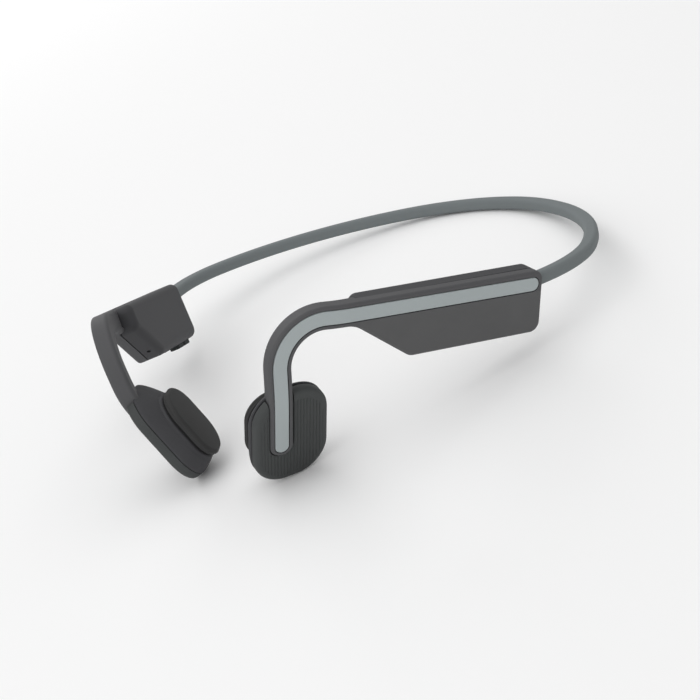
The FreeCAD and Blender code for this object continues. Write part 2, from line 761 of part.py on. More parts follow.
def pod_seal():
    """Flat gasket between cover and shell, a little inside the outline."""
    body = new_body("pod_seal", POD)
    outline = sketch_on(body, "seal_outline", SHELL_TOP)
    points = shell_points(sizes.seal_inset)
    polygon(outline, points)
    pad(body, outline, sizes.seal_thickness)
    round_shell_corners(body, points)
    window = sketch_on(body, "seal_window", PARTING)
    polygon(window, shell_points(sizes.wall))
    pocket(body, window, sizes.seal_thickness)
    return body


def side_frame_shape():
    """Cover and arm as one moulding, with the trim's bed, the wire's bore, the seat and the band's way."""
    seat = Part.makeBox(number(sizes.arm_width) * 2, number(sizes.cap_tall + sizes.slot_gap * 2),
                        number(sizes.arm_thickness),
                        Vector(-number(sizes.tongue_forward + sizes.arm_width),
                               -number(sizes.cap_tall) / 2,
                               -number(sizes.cap_thickness + sizes.press_gap + sizes.arm_thickness)))
    seat.Placement = CAP * seat.Placement
    moulding = pod_cover().Shape.fuse(arm.Shape)
    for tool in (trim_bed.Shape, hook_wire.Shape, seat, band_core.Shape):
        moulding = moulding.cut(tool)
    return solid_of(moulding)


side_frame = solid("side_frame", side_frame_shape())
seal = cut("seal", pod_seal(), band_core)
left_shell = cut("left_shell", pod_shell(), band_core)


# ---------------------------------------------------------------- transducer

HOUSING_TOP = -(sizes.cap_thickness + sizes.press_gap)
HOUSING_END = HOUSING_TOP - sizes.housing_depth
BORE_FLOOR = HOUSING_TOP - sizes.housing_floor
SURROUND_END = HOUSING_END - sizes.surround_thickness
PAD_TOP = SURROUND_END - sizes.pad_gap
PAD_FACE = PAD_TOP - sizes.pad_thickness
PAD_UP = -sizes.pad_drop
TONGUE_TIP_UP = sizes.arm_width / 2 - sizes.tongue_down
SWITCH_X = sizes.tongue_forward


def cap_body(name, thickness, gap):
    """Ribbed cap with a slot for the tongue."""
    body = new_body(name, CAP)
    rounded_block(body, "block", -thickness, thickness, sizes.cap_width, sizes.cap_tall,
                  sizes.cap_corner, NOTHING)
    fillet(body, f"{name}_edge", sizes.cap_edge, level_at(NOTHING))
    slot = sketch_on(body, f"{name}_slot", NOTHING)
    half_slot = sizes.arm_width / 2 + gap
    rectangle(slot, -sizes.tongue_forward - half_slot, half_slot - sizes.tongue_forward,
              TONGUE_TIP_UP, sizes.cap_tall)
    pocket(body, slot, thickness)
    slot_end = sketch_on(body, f"{name}_slot_end", NOTHING)
    circle(slot_end, -sizes.tongue_forward, TONGUE_TIP_UP, half_slot)
    pocket(body, slot_end, thickness)
    cut_grooves(body, name)
    return body


def cut_grooves(body, name):
    """Row of grooves that leaves the cap's upright ribs."""
    groove = sketch_on(body, f"{name}_groove", NOTHING)
    first = -sizes.rib_pitch * (RIB_GROOVES - 1) / 2
    half_length = sizes.cap_tall / 2 - sizes.rib_shoulder
    rectangle(groove, first - sizes.rib_groove / 2, first + sizes.rib_groove / 2,
              -half_length, half_length)
    base = pocket(body, groove, sizes.rib_depth)
    pattern = body.newObject("PartDesign::LinearPattern", f"{name}_ribs")
    pattern.Originals = [base]
    pattern.Direction = (groove, ["H_Axis"])
    pattern.Occurrences = RIB_GROOVES
    drive(pattern, "Length", sizes.rib_pitch * (RIB_GROOVES - 1))
    body.Tip = pattern
    document.recompute()


def housing_body(name, seats_switch):
    """Driver housing: tapers from the cap's outline to the pad's, with a round bore for the driver."""
    body = new_body(name, CAP)
    loft_between(body, f"{name}_wall",
                 (HOUSING_TOP, sizes.cap_width, sizes.cap_tall, NOTHING, sizes.cap_corner),
                 (HOUSING_END, sizes.pad_width, sizes.pad_tall, PAD_UP, sizes.pad_corner))
    bore = sketch_on(body, f"{name}_bore", HOUSING_END)
    circle(bore, NOTHING, PAD_UP, sizes.bore_radius)
    pocket(body, bore, sizes.housing_depth - sizes.housing_floor, upwards=True)
    if seats_switch:
        seat = sketch_on(body, f"{name}_switch_seat", HOUSING_TOP)
        rectangle(seat, SWITCH_X, SWITCH_X + sizes.switch_size, PAD_UP, PAD_UP + sizes.switch_size)
        pocket(body, seat, sizes.switch_height)
    return body


def loft_between(body, name, upper, lower):
    """Loft between two rounded rectangles: (level, width, tall, centre_up, corner radius)."""
    sketches = []
    for word, (level, width, tall, centre_up, corner) in (("upper", upper), ("lower", lower)):
        sketch = sketch_on(body, f"{name}_{word}", level)
        sides = (-width / 2, width / 2, centre_up - tall / 2, centre_up + tall / 2)
        rounded_rectangle(sketch, sides, corner)
        sketches.append(sketch)
    loft = body.newObject("PartDesign::AdditiveLoft", name)
    loft.Profile = sketches[0]
    loft.Sections = [sketches[1]]
    loft.Ruled = True
    document.recompute()


def pad_body():
    """Contact pad that rests on the cheekbone."""
    body = new_body("pad", CAP)
    rounded_block(body, "block", PAD_FACE, sizes.pad_thickness, sizes.pad_width, sizes.pad_tall,
                  sizes.pad_corner, PAD_UP)
    fillet(body, "pad_edge", sizes.pad_edge, level_at(PAD_FACE))
    return body


def surround_body():
    """Soft ring that closes the gap between housing and pad."""
    body = new_body("surround", CAP)
    rounded_block(body, "ring", SURROUND_END, sizes.surround_thickness,
                  sizes.pad_width - sizes.surround_inset * 2, sizes.pad_tall - sizes.surround_inset * 2,
                  sizes.pad_corner - sizes.surround_inset, PAD_UP)
    opening = sketch_on(body, "surround_opening", HOUSING_END)
    circle(opening, NOTHING, PAD_UP, sizes.bore_radius)
    pocket(body, opening, sizes.surround_thickness)
    return body


def disc(name, low, radius, height):
    """Cylinder on the driver's axis, from a level upwards."""
    return cylinder(name, CAP, (NOTHING, PAD_UP, low), radius, height)


def tube(name, low, outer, inner, height):
    """Ring on the driver's axis, from a level upwards."""
    return cut(name, disc(name + "_outside", low, outer, height), disc(name + "_inside", low, inner, height))


def driver_pieces():
    """Yoke, magnet, pole plate, leaf spring, voice coil and bobbin, in their rest places."""
    yoke_low = BORE_FLOOR - sizes.yoke_height
    plate_top = BORE_FLOOR - sizes.yoke_floor
    yoke = cut("yoke", disc("yoke_cup", yoke_low, sizes.yoke_radius, sizes.yoke_height),
               disc("yoke_inside", yoke_low, sizes.yoke_radius - sizes.yoke_wall,
                    sizes.yoke_height - sizes.yoke_floor))
    magnet_low = plate_top - sizes.magnet_height
    magnet = disc("magnet", magnet_low, sizes.magnet_radius, sizes.magnet_height)
    plate = disc("pole_plate", magnet_low - sizes.plate_height, sizes.plate_radius, sizes.plate_height)
    leaf = tube("leaf_spring", yoke_low - sizes.leaf_thickness, sizes.bore_radius,
                sizes.yoke_radius - sizes.yoke_wall, sizes.leaf_thickness)
    coil_outer = sizes.coil_radius + sizes.coil_wall / 2
    coil_inner = sizes.coil_radius - sizes.coil_wall / 2
    coil_low = yoke_low - sizes.leaf_thickness
    coil = tube("coil", coil_low, coil_outer, coil_inner, sizes.coil_height)
    bobbin = tube("bobbin", PAD_TOP, coil_outer, coil_inner, coil_low - PAD_TOP)
    return {"yoke": yoke, "magnet": magnet, "pole_plate": plate, "leaf_spring": leaf,
            "voice_coil": coil, "coil_bobbin": bobbin}


dome_switch = box("dome_switch", CAP, (SWITCH_X, PAD_UP, HOUSING_TOP - sizes.switch_height),
                  (sizes.switch_size, sizes.switch_size, sizes.switch_height))
left_housing = housing_body("left_housing", seats_switch=True)
right_housing = housing_body("right_housing", seats_switch=False)
button_cap = cap_body("button_cap", sizes.cap_thickness, sizes.slot_gap)
fixed_cap = cap_body("fixed_cap", sizes.cap_thickness + sizes.press_gap, sizes.fixed_slot_gap)
contact_pad = pad_body()
surround = surround_body()
driver = driver_pieces()


# ---------------------------------------------------------------- inside the left pod

SHELL_INSIDE = SHELL_FACE + sizes.wall
CELL_END = -(sizes.battery_start + sizes.battery_length)
CELL_FOOT = sizes.battery_up - sizes.battery_height
foam = box("foam", POD, (CELL_END, CELL_FOOT, SHELL_INSIDE),
           (sizes.battery_length, sizes.battery_height, sizes.foam_thickness))
cell = box("cell", POD, (CELL_END, CELL_FOOT, SHELL_INSIDE + sizes.foam_thickness),
           (sizes.battery_length, sizes.battery_height, sizes.battery_thickness))


# ---------------------------------------------------------------- right pod's board and controls

BOARD_FRONT = sizes.board_start + sizes.board_length
BOARD_OUT = SHELL_INSIDE + sizes.board_standoff
BOTTOM_INSIDE = sizes.wall - sizes.pod_bottom
BUTTON_IN = BOARD_OUT - sizes.button_width
FLANGE_LOW = BOTTOM_INSIDE + sizes.button_gap / 2
BUTTON_TOP = FLANGE_LOW + sizes.button_flange
PORT_IN = BOARD_OUT - sizes.port_height
PORT_FRONT = sizes.port_start + sizes.port_width
PORT_MOUTH = sizes.flap_thickness + sizes.port_setback - sizes.pod_bottom
FLAP_FRONT = PORT_FRONT + sizes.flap_margin
FLAP_LENGTH = sizes.port_width + sizes.flap_margin * 2


def volume_button(index):
    """Volume button: a stem through the pod's bottom and a flange that keeps it in."""
    front = sizes.button_start + sizes.button_length + sizes.button_pitch * index
    stem = box(f"button_stem_{index}", POD,
               (-front, -(sizes.pod_bottom + sizes.button_proud), BUTTON_IN),
               (sizes.button_length, BUTTON_TOP + sizes.pod_bottom + sizes.button_proud,
                sizes.button_width))
    flange = box(f"button_flange_{index}", POD,
                 (-(front + sizes.button_flange / 2), FLANGE_LOW, BUTTON_IN - sizes.button_flange / 2),
                 (sizes.button_length + sizes.button_flange, sizes.button_flange,
                  sizes.button_width + sizes.button_flange))
    return fuse(f"volume_button_{index}", [stem, flange])


def button_opening(index):
    """Opening in the pod's bottom round a volume button's stem."""
    front = sizes.button_start + sizes.button_length + sizes.button_pitch * index
    gap = sizes.button_gap
    return box(f"button_opening_{index}", POD,
               (-(front + gap / 2), -(sizes.pod_bottom + sizes.wall), BUTTON_IN - gap / 2),
               (sizes.button_length + gap, sizes.wall * 2, sizes.button_width + gap))


def volume_switch(index):
    """Side switch on the board, just above a volume button's whole travel."""
    middle = sizes.button_start + sizes.button_length / 2 + sizes.button_pitch * index
    low = BUTTON_TOP + sizes.volume_travel + sizes.side_switch_gap
    return box(f"volume_switch_{index}", POD,
               (-(middle + sizes.switch_size / 2), low, BOARD_OUT - sizes.side_switch_depth),
               (sizes.switch_size, sizes.side_switch_height, sizes.side_switch_depth))


def board_post(forward, up):
    """Post that stands on the shell's inside and carries the board."""
    return cylinder("board_post", POD, (-forward, up, SHELL_INSIDE - sizes.wall / 2),
                    sizes.post_radius, BOARD_OUT - SHELL_INSIDE + sizes.wall / 2)


def port_socket():
    """Steel shell of the charging socket with its contact tongue, mouth downwards."""
    outside = box("socket_outside", POD, (-PORT_FRONT, PORT_MOUTH, PORT_IN),
                  (sizes.port_width, sizes.port_depth, sizes.port_height))
    inside = box("socket_inside", POD,
                 (sizes.port_metal - PORT_FRONT, PORT_MOUTH, PORT_IN + sizes.port_metal),
                 (sizes.port_width - sizes.port_metal * 2, sizes.port_depth - sizes.port_metal,
                  sizes.port_height - sizes.port_metal * 2))
    contact = box("socket_contact", POD,
                  (sizes.contact_margin - PORT_FRONT, PORT_MOUTH + sizes.port_setback,
                   PORT_IN + (sizes.port_height - sizes.contact_thickness) / 2),
                  (sizes.port_width - sizes.contact_margin * 2, sizes.port_depth - sizes.port_setback,
                   sizes.contact_thickness))
    rounded = document.addObject("Part::Fillet", "socket_rounded")
    rounded.Base = outside
    document.recompute()
    corner = number(sizes.port_corner)
    along_up = [index for index, edge in enumerate(outside.Shape.Edges, start=1)
                if abs(edge.Length - number(sizes.port_depth)) < 1e-6]
    rounded.Edges = [(index, corner, corner) for index in along_up]
    hollow = cut("socket_hollow", rounded, inside)
    return fuse("port_socket", [hollow, contact])


def flap_recess():
    """Recess in the pod's bottom for the flap, and the socket's way through the wall."""
    gap = sizes.flap_gap
    recess = box("flap_recess", POD,
                 (-(FLAP_FRONT + gap), -(sizes.pod_bottom + sizes.wall), PORT_IN - gap - sizes.port_metal),
                 (FLAP_LENGTH + gap * 2, sizes.wall + sizes.flap_thickness,
                  sizes.port_height + gap * 2 + sizes.port_metal * 2))
    way = box("socket_way", POD, (-PORT_FRONT, -sizes.pod_bottom, PORT_IN),
              (sizes.port_width, sizes.wall * 2, sizes.port_height))
    return [recess, way]


def port_flap():
    """Rubber flap over the charging port."""
    return box("port_flap", POD, (-FLAP_FRONT, -sizes.pod_bottom, PORT_IN - sizes.port_metal),
               (FLAP_LENGTH, sizes.flap_thickness - sizes.flap_gap,
                sizes.port_height + sizes.port_metal * 2))


# The sound hole is square to the pod's sloping lower front, and its capsule clears the shell's skin.
SLOPE_ANGLE = math.degrees(math.atan(number(SLOPE)))
MIC_OUT = SHELL_INSIDE + sizes.mic_radius + sizes.button_gap
MIC_FORWARD = sizes.pod_foot_length + sizes.mic_rise * math.cos(math.radians(SLOPE_ANGLE))
MIC_TURN = Rotation(Vector(0, 0, 1), -SLOPE_ANGLE) * Rotation(Vector(1, 0, 0), -90)


def sunk(depth):
    """Place on the sound hole's axis, a depth inside the slope."""
    inwards = Rotation(Vector(0, 0, 1), -SLOPE_ANGLE).multVec(Vector(0, 1, 0))
    foot = Vector(-number(MIC_FORWARD), number(slope_up(MIC_FORWARD)), number(MIC_OUT))
    place = foot + inwards * number(depth)
    return (place.x, place.y, place.z)


board = box("board", POD, (-BOARD_FRONT, sizes.board_up - sizes.board_height, BOARD_OUT),
            (sizes.board_length, sizes.board_height, sizes.board_thickness))
posts = [board_post(sizes.board_start + sizes.post_inset, -sizes.post_inset),
         board_post(BOARD_FRONT - sizes.post_inset, -sizes.post_inset)]
mic_hole = cylinder("mic_hole", POD, sunk(-sizes.wall), sizes.mic_hole_radius, sizes.wall * 3, MIC_TURN)
mic = cylinder("mic", POD, sunk(sizes.wall + sizes.mic_gap), sizes.mic_radius, sizes.mic_height, MIC_TURN)
LIGHT_TURN = Rotation(Vector(1, 0, 0), -90)
LIGHT_AT = (-sizes.light_forward, -sizes.pod_bottom, BOARD_OUT - sizes.button_width / 2)
light = cylinder("light", POD, LIGHT_AT, sizes.light_radius, sizes.light_length, LIGHT_TURN)
light_hole = cylinder("light_hole", POD, LIGHT_AT, sizes.light_radius, sizes.light_length, LIGHT_TURN)
shell_with_posts = fuse("shell_with_posts", [pod_shell(), *posts])
right_shell = carve("right_shell", shell_with_posts,
                    [band_core, mic_hole, light_hole, *flap_recess(), button_opening(0), button_opening(1)])
switches = fuse("switches", [volume_switch(0), volume_switch(1)])


# ---------------------------------------------------------------- finished sub-parts

TWINS = {"side_frame": side_frame, "trim_strip": trim, "pod_seal": seal, "hook_wire": hook_wire,
         "pad_surround": surround, "contact_pad": contact_pad, "yoke": driver["yoke"],
         "magnet": driver["magnet"], "pole_plate": driver["pole_plate"],
         "leaf_spring": driver["leaf_spring"], "voice_coil": driver["voice_coil"],
         "coil_bobbin": driver["coil_bobbin"], "neckband_sleeve": band_sleeve,
         "neckband_spring_wire": band_wire, "neckband_cable": band_cable}
for word, feature in TWINS.items():
    mirrored("right_" + word, feature)
    piece("left_" + word, feature)
piece("left_pod_shell", left_shell)
piece("left_transducer_housing", left_housing)
piece("multifunction_button", button_cap)
piece("multifunction_switch", dome_switch)
piece("battery", cell)
piece("battery_foam", foam)
mirrored("right_pod_shell", right_shell)
mirrored("right_transducer_housing", right_housing)
mirrored("right_transducer_cap", fixed_cap)
mirrored("main_board", board)
mirrored("volume_switches", switches)
mirrored("volume_down_button", volume_button(0))
mirrored("volume_up_button", volume_button(1))
mirrored("charging_port", port_socket())
mirrored("port_flap", port_flap())
mirrored("microphone", mic)
mirrored("status_light", light)
document.recompute()


# ---------------------------------------------------------------- checks and export

for item in document.Objects:
    if {"Invalid", "Error"} & set(item.State):
        raise RuntimeError(f"{item.Label} failed: {item.State}")
os.makedirs("parts", exist_ok=True)
for name, feature in PIECES.items():
    shape = feature.Shape
    if shape.isNull() or not shape.isValid() or not shape.Solids:
        raise RuntimeError(f"{name} has no valid solid")
for name, feature in PIECES.items():
    feature.Shape.exportStep(os.path.join("parts", name + ".step"))
whole = Part.makeCompound([feature.Shape for feature in PIECES.values()]).optimalBoundingBox()
print(f"{len(PIECES)} sub-parts, X {whole.XMin:.2f} to {whole.XMax:.2f}, "
      f"Y {whole.YMin:.2f} to {whole.YMax:.2f}, Z {whole.ZMin:.2f} to {whole.ZMax:.2f}")
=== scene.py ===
"""Bone conduction headphones: the finished looks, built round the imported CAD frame.

Sizes are in millimetres and angles in degrees, and meshes are scaled to metres when they are made.
Each side is worked out as the wearer's left and mirrored for the right. Two slanted frames carry the
side pieces, as in the CAD source: the pod frame starts where the band enters the pod, and the cap
frame at the middle of the transducer's outer face. Both have x rearwards, y up and z outwards.
"""

import logging
import math
from collections.abc import Callable, Sequence
from dataclasses import dataclass, field
from enum import Enum

import bmesh
import bpy
from mathutils import Matrix, Vector
from mathutils.geometry import delaunay_2d_cdt


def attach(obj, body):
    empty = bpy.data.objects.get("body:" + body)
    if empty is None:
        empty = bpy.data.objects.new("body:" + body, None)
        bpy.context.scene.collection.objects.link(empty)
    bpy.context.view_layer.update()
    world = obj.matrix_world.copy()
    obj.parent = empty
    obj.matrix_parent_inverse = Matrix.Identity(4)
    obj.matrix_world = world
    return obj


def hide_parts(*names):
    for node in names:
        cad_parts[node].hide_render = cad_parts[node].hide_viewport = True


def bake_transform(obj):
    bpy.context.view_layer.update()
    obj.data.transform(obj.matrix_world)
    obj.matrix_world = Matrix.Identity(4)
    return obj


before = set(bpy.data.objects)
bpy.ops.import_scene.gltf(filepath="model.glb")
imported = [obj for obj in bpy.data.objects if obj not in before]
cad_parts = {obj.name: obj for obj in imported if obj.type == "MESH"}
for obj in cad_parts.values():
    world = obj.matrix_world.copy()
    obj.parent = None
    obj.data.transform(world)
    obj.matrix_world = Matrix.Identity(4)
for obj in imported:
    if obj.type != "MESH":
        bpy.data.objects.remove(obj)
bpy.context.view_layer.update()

MM = 0.001
log = logging.getLogger("headphones")


# ---------------------------------------------------------------- frames and routes

class Side(Enum):
    """The wearer's two sides; the value is the sign of X."""

    LEFT = 1
    RIGHT = -1

    @property
    def word(self) -> str:
        """The side's word in piece and node names."""
        return self.name.lower()

    @property
    def body(self) -> str:
        """The CAD body that this side's fixed pieces ride on."""
        return self.word + "_side"

    def place(self, point: Vector) -> Vector:
        """A left-hand point, mirrored if this is the right side."""
        return Vector((point.x * self.value, point.y, point.z))


@dataclass(frozen=True)
class SlantedFrame:
    """A frame of the left side with x rearwards, y up and z outwards.

    Attributes:
        origin: where it starts, in the row frame.
        toe_in: its turn towards the middle at the front.
        nose_up: its rise towards the front.
        lean: its lean about its own length.
    """

    origin: tuple[float, float, float]
    toe_in: float
    nose_up: float
    lean: float

    def axes(self) -> tuple[Vector, Vector, Vector]:
        """The frame's x, y and z in the row frame."""
        turn = Matrix.Rotation(math.radians(-self.toe_in), 3, "Z")
        rise = Matrix.Rotation(math.radians(-self.nose_up), 3, "X")
        tilt = Matrix.Rotation(math.radians(self.lean), 3, "Y")
        whole = turn @ rise @ tilt
        return whole @ Vector((0, 1, 0)), whole @ Vector((0, 0, 1)), whole @ Vector((1, 0, 0))

    def point(self, back: float, up: float, out: float) -> Vector:
        """Row-frame point of a place in this frame."""
        rear, above, outwards = self.axes()
        return Vector(self.origin) + rear * back + above * up + outwards * out


@dataclass(frozen=True)
class Station:
    """A place on a route, with the directions of its section."""

    point: Vector
    heading: Vector
    out: Vector

    @property
    def side(self) -> Vector:
        """The section's third direction, towards the inside of the hook's arch."""
        return self.out.cross(self.heading)


@dataclass(frozen=True)
class Leg:
    """A straight run, or an arc about an axis when it has a radius."""

    length: float
    radius: float = 0.0
    axis: Vector | None = None

    def walk(self, start: Station, distance: float) -> Station:
        """The station some distance along this leg."""
        if self.axis is None:
            return Station(start.point + start.heading * distance, start.heading, start.out)
        centre = start.point + self.axis.cross(start.heading) * self.radius
        turn = Matrix.Rotation(distance / self.radius, 3, self.axis)
        return Station(centre + turn @ (start.point - centre), turn @ start.heading, turn @ start.out)


class Route:
    """Runs and tangent arcs that a section follows."""

    def __init__(self, start: Station, legs: Sequence[Leg]) -> None:
        """Keep each leg with the station that it starts from."""
        self.stretches: list[tuple[float, Station, Leg]] = []
        self.length = 0.0
        for leg in legs:
            self.stretches.append((self.length, start, leg))
            start = leg.walk(start, leg.length)
            self.length += leg.length

    @classmethod
    def through(cls, corners: Sequence[Vector], radii: Sequence[float], out: Vector) -> "Route":
        """A route along straight lines between corners, with an arc at each inner corner.

        Args:
            corners: the ends and the corners between the runs.
            radii: one centreline radius for each inner corner.
            out: the section's outward direction at the start.

        Returns:
            The route.
        """
        legs = []
        position = corners[0]
        for before, corner, after, radius in zip(corners, corners[1:], corners[2:], radii):
            arriving = (corner - before).normalized()
            leaving = (after - corner).normalized()
            angle = arriving.angle(leaving)
            tangent = radius * math.tan(angle / 2)
            legs.append(Leg((corner - arriving * tangent - position).length))
            legs.append(Leg(radius * angle, radius, arriving.cross(leaving).normalized()))
            position = corner + leaving * tangent
        legs.append(Leg((corners[-1] - position).length))
        return cls(Station(corners[0], (corners[1] - corners[0]).normalized(), out), legs)

    def at(self, distance: float) -> Station:
        """The station at a distance from the start; past the ends the route runs straight on."""
        begin, start, leg = self.stretches[0]
        for begin, start, leg in self.stretches:
            if distance <= begin + leg.length:
                break
        along = distance - begin
        if along < 0:
            return Station(start.point + start.heading * along, start.heading, start.out)
        if along > leg.length:
            last = leg.walk(start, leg.length)
            return Leg(0.0).walk(last, along - leg.length)
        return leg.walk(start, along)

    def place(self, along: float, across: float, out: float) -> Vector:
        """Row-frame point of a place measured along, across and outwards of the route."""
        station = self.at(along)
        return station.point + station.side * across + station.out * out


# ---------------------------------------------------------------- outlines and meshes

Place = Callable[[float, float, float], Vector]


def rounded_outline(corners: Sequence[tuple[float, float, float]], spacing: float,
                    arc_spacing: float = 0.35) -> list[Vector]:
    """Closed outline through rounded corners.

    Args:
        corners: (x, y, radius) of each corner, in order round the outline.
        spacing: the longest step along the straight stretches.
        arc_spacing: the longest step along the arcs.

    Returns:
        The outline's points.
    """
    loop: list[Vector] = []
    count = len(corners)
    for index, (x, y, radius) in enumerate(corners):
        corner = Vector((x, y))
        arriving = (corner - Vector(corners[index - 1][:2])).normalized()
        leaving = (Vector(corners[(index + 1) % count][:2]) - corner).normalized()
        turn = math.atan2(arriving.x * leaving.y - arriving.y * leaving.x, arriving.dot(leaving))
        tangent = radius * abs(math.tan(turn / 2))
        towards = Vector((-arriving.y, arriving.x)) * math.copysign(1, turn)
        centre = corner - arriving * tangent + towards * radius
        steps = max(1, math.ceil(radius * abs(turn) / arc_spacing)) if radius else 0
        arc = [centre + Matrix.Rotation(turn * step / max(steps, 1), 2) @ (-towards * radius)
               for step in range(steps + 1)]
        if loop:
            loop.extend(between(loop[-1], arc[0], spacing))
        loop.extend(arc)
    loop.extend(between(loop[-1], loop[0], spacing))
    return [point for point, before in zip(loop, [loop[-1], *loop]) if (point - before).length > 1e-4]


def between(start: Vector, end: Vector, spacing: float) -> list[Vector]:
    """Points strictly between two ends, no further apart than the spacing."""
    steps = math.ceil((end - start).length / spacing)
    return [start.lerp(end, step / steps) for step in range(1, steps)]


def inset_loop(loop: Sequence[Vector], distance: float) -> list[Vector]:
    """The outline moved inwards by a distance; a negative one moves it outwards."""
    area = sum(a.x * b.y - b.x * a.y for a, b in zip(loop, [*loop[1:], loop[0]]))
    sign = math.copysign(1, area)
    moved = []
    for index, point in enumerate(loop):
        tangent = (loop[(index + 1) % len(loop)] - loop[index - 1]).normalized()
        moved.append(point + Vector((-tangent.y, tangent.x)) * (sign * distance))
    return moved


def inside(point: Vector, loop: Sequence[Vector]) -> bool:
    """Whether a point lies inside a closed outline."""
    odd = False
    for a, b in zip(loop, [*loop[1:], loop[0]]):
        if (a.y > point.y) != (b.y > point.y):
            if point.x < a.x + (point.y - a.y) * (b.x - a.x) / (b.y - a.y):
                odd = not odd
    return odd


class MeshMaker:
    """Collects points in millimetres and faces, and turns them into one Blender object."""

    least_face = 1e-3

    def __init__(self, name: str, side: Side = Side.LEFT) -> None:
        """Start an empty mesh with its piece name and the side it is for."""
        self.name = name
        self.side = side
        self.points: list[Vector] = []
        self.faces: list[list[int]] = []
        self.cut_by: MeshMaker | None = None

    def ring(self, points: Sequence[Vector]) -> list[int]:
        """Add points and return their indices."""
        first = len(self.points)
        self.points.extend(points)
        return list(range(first, len(self.points)))

    def bridge(self, lower: Sequence[int], upper: Sequence[int]) -> None:
        """Join two closed rings of the same length with quads."""
        count = len(lower)
        for index in range(count):
            following = (index + 1) % count
            self.faces.append([lower[index], lower[following], upper[following], upper[index]])

    def stack(self, rings: Sequence[Sequence[Vector]]) -> list[list[int]]:
        """Add closed rings and join each to the next."""
        indices = [self.ring(points) for points in rings]
        for lower, upper in zip(indices, indices[1:]):
            self.bridge(lower, upper)
        return indices

    def cap(self, ring: Sequence[int]) -> None:
        """Close a ring with one face."""
        self.faces.append(list(ring))

    def fill(self, outer: tuple[Sequence[Vector], Sequence[int]],
             hole: tuple[Sequence[Vector], Sequence[int]] | None = None) -> None:
        """Fill the area inside an outline with triangles, leaving out a hole.

        Args:
            outer: the outline's flat points and their indices in the mesh.
            hole: the same for the hole.
        """
        flat, indices = list(outer[0]), list(outer[1])
        edges = [(index, (index + 1) % len(outer[0])) for index in range(len(outer[0]))]
        if hole:
            first, count = len(flat), len(hole[0])
            edges += [(first + index, first + (index + 1) % count) for index in range(count)]
            flat += list(hole[0])
            indices += list(hole[1])
        verts, _, triangles, sources, _, _ = delaunay_2d_cdt(flat, edges, [], 0, 1e-6)
        for triangle in triangles:
            a, b, c = (verts[corner] for corner in triangle)
            if abs((b - a).cross(c - a)) < self.least_face:
                continue
            middle = (a + b + c) / 3
            if inside(middle, outer[0]) and not (hole and inside(middle, hole[0])):
                self.faces.append([indices[sources[corner][0]] for corner in triangle])

    def closed_mesh(self) -> bpy.types.Mesh:
        """The collected faces as a mesh in metres, with doubles joined and normals outwards."""
        mesh = bpy.data.meshes.new(self.name)
        mesh.from_pydata([self.side.place(point) * MM for point in self.points], [], self.faces)
        tool = bmesh.new()
        tool.from_mesh(mesh)
        bmesh.ops.remove_doubles(tool, verts=tool.verts, dist=1e-6)
        bmesh.ops.recalc_face_normals(tool, faces=tool.faces)
        tool.to_mesh(mesh)
        tool.free()
        return mesh

    def carved(self, mesh: bpy.types.Mesh, cutter: bpy.types.Mesh) -> bpy.types.Mesh:
        """The mesh with another one cut out of it."""
        whole, tool = (bpy.data.objects.new("uncut", mesh), bpy.data.objects.new("cutter", cutter))
        for item in (whole, tool):
            bpy.context.scene.collection.objects.link(item)
        cut = whole.modifiers.new("cut", "BOOLEAN")
        cut.operation, cut.solver, cut.object = "DIFFERENCE", "EXACT", tool
        settled = whole.evaluated_get(bpy.context.evaluated_depsgraph_get())
        result = bpy.data.meshes.new_from_object(settled)
        result.name = self.name
        for item in (whole, tool):
            bpy.data.objects.remove(item)
        return result

    def finish(self, finish: "Finish", rides: str, slot: str, replaces: Sequence[str] = (),
               crease: float = 38.0) -> bpy.types.Object:
        """Make the object, dress it and tie it to its CAD body.

        Args:
            finish: its material.
            rides: the CAD body that it moves with, or "" for none.
            slot: not used.
            replaces: the CAD nodes that it stands for.
            crease: the angle above which an edge stays sharp.

        Returns:
            The new object.
        """
        mesh = self.closed_mesh()
        if self.cut_by:
            mesh = self.carved(mesh, self.cut_by.closed_mesh())
        mesh.shade_smooth()
        mesh.set_sharp_from_angle(angle=math.radians(crease))
        piece = bpy.data.objects.new(self.name, mesh)
        bpy.context.scene.collection.objects.link(piece)
        piece.modifiers.new("even_shading", "WEIGHTED_NORMAL").keep_sharp = True
        mesh.materials.append(finish.material())
        if replaces:
            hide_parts(*replaces)
        if rides:
            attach(piece, rides)
        log.info("%s: %d faces", self.name, len(mesh.polygons))
        return piece


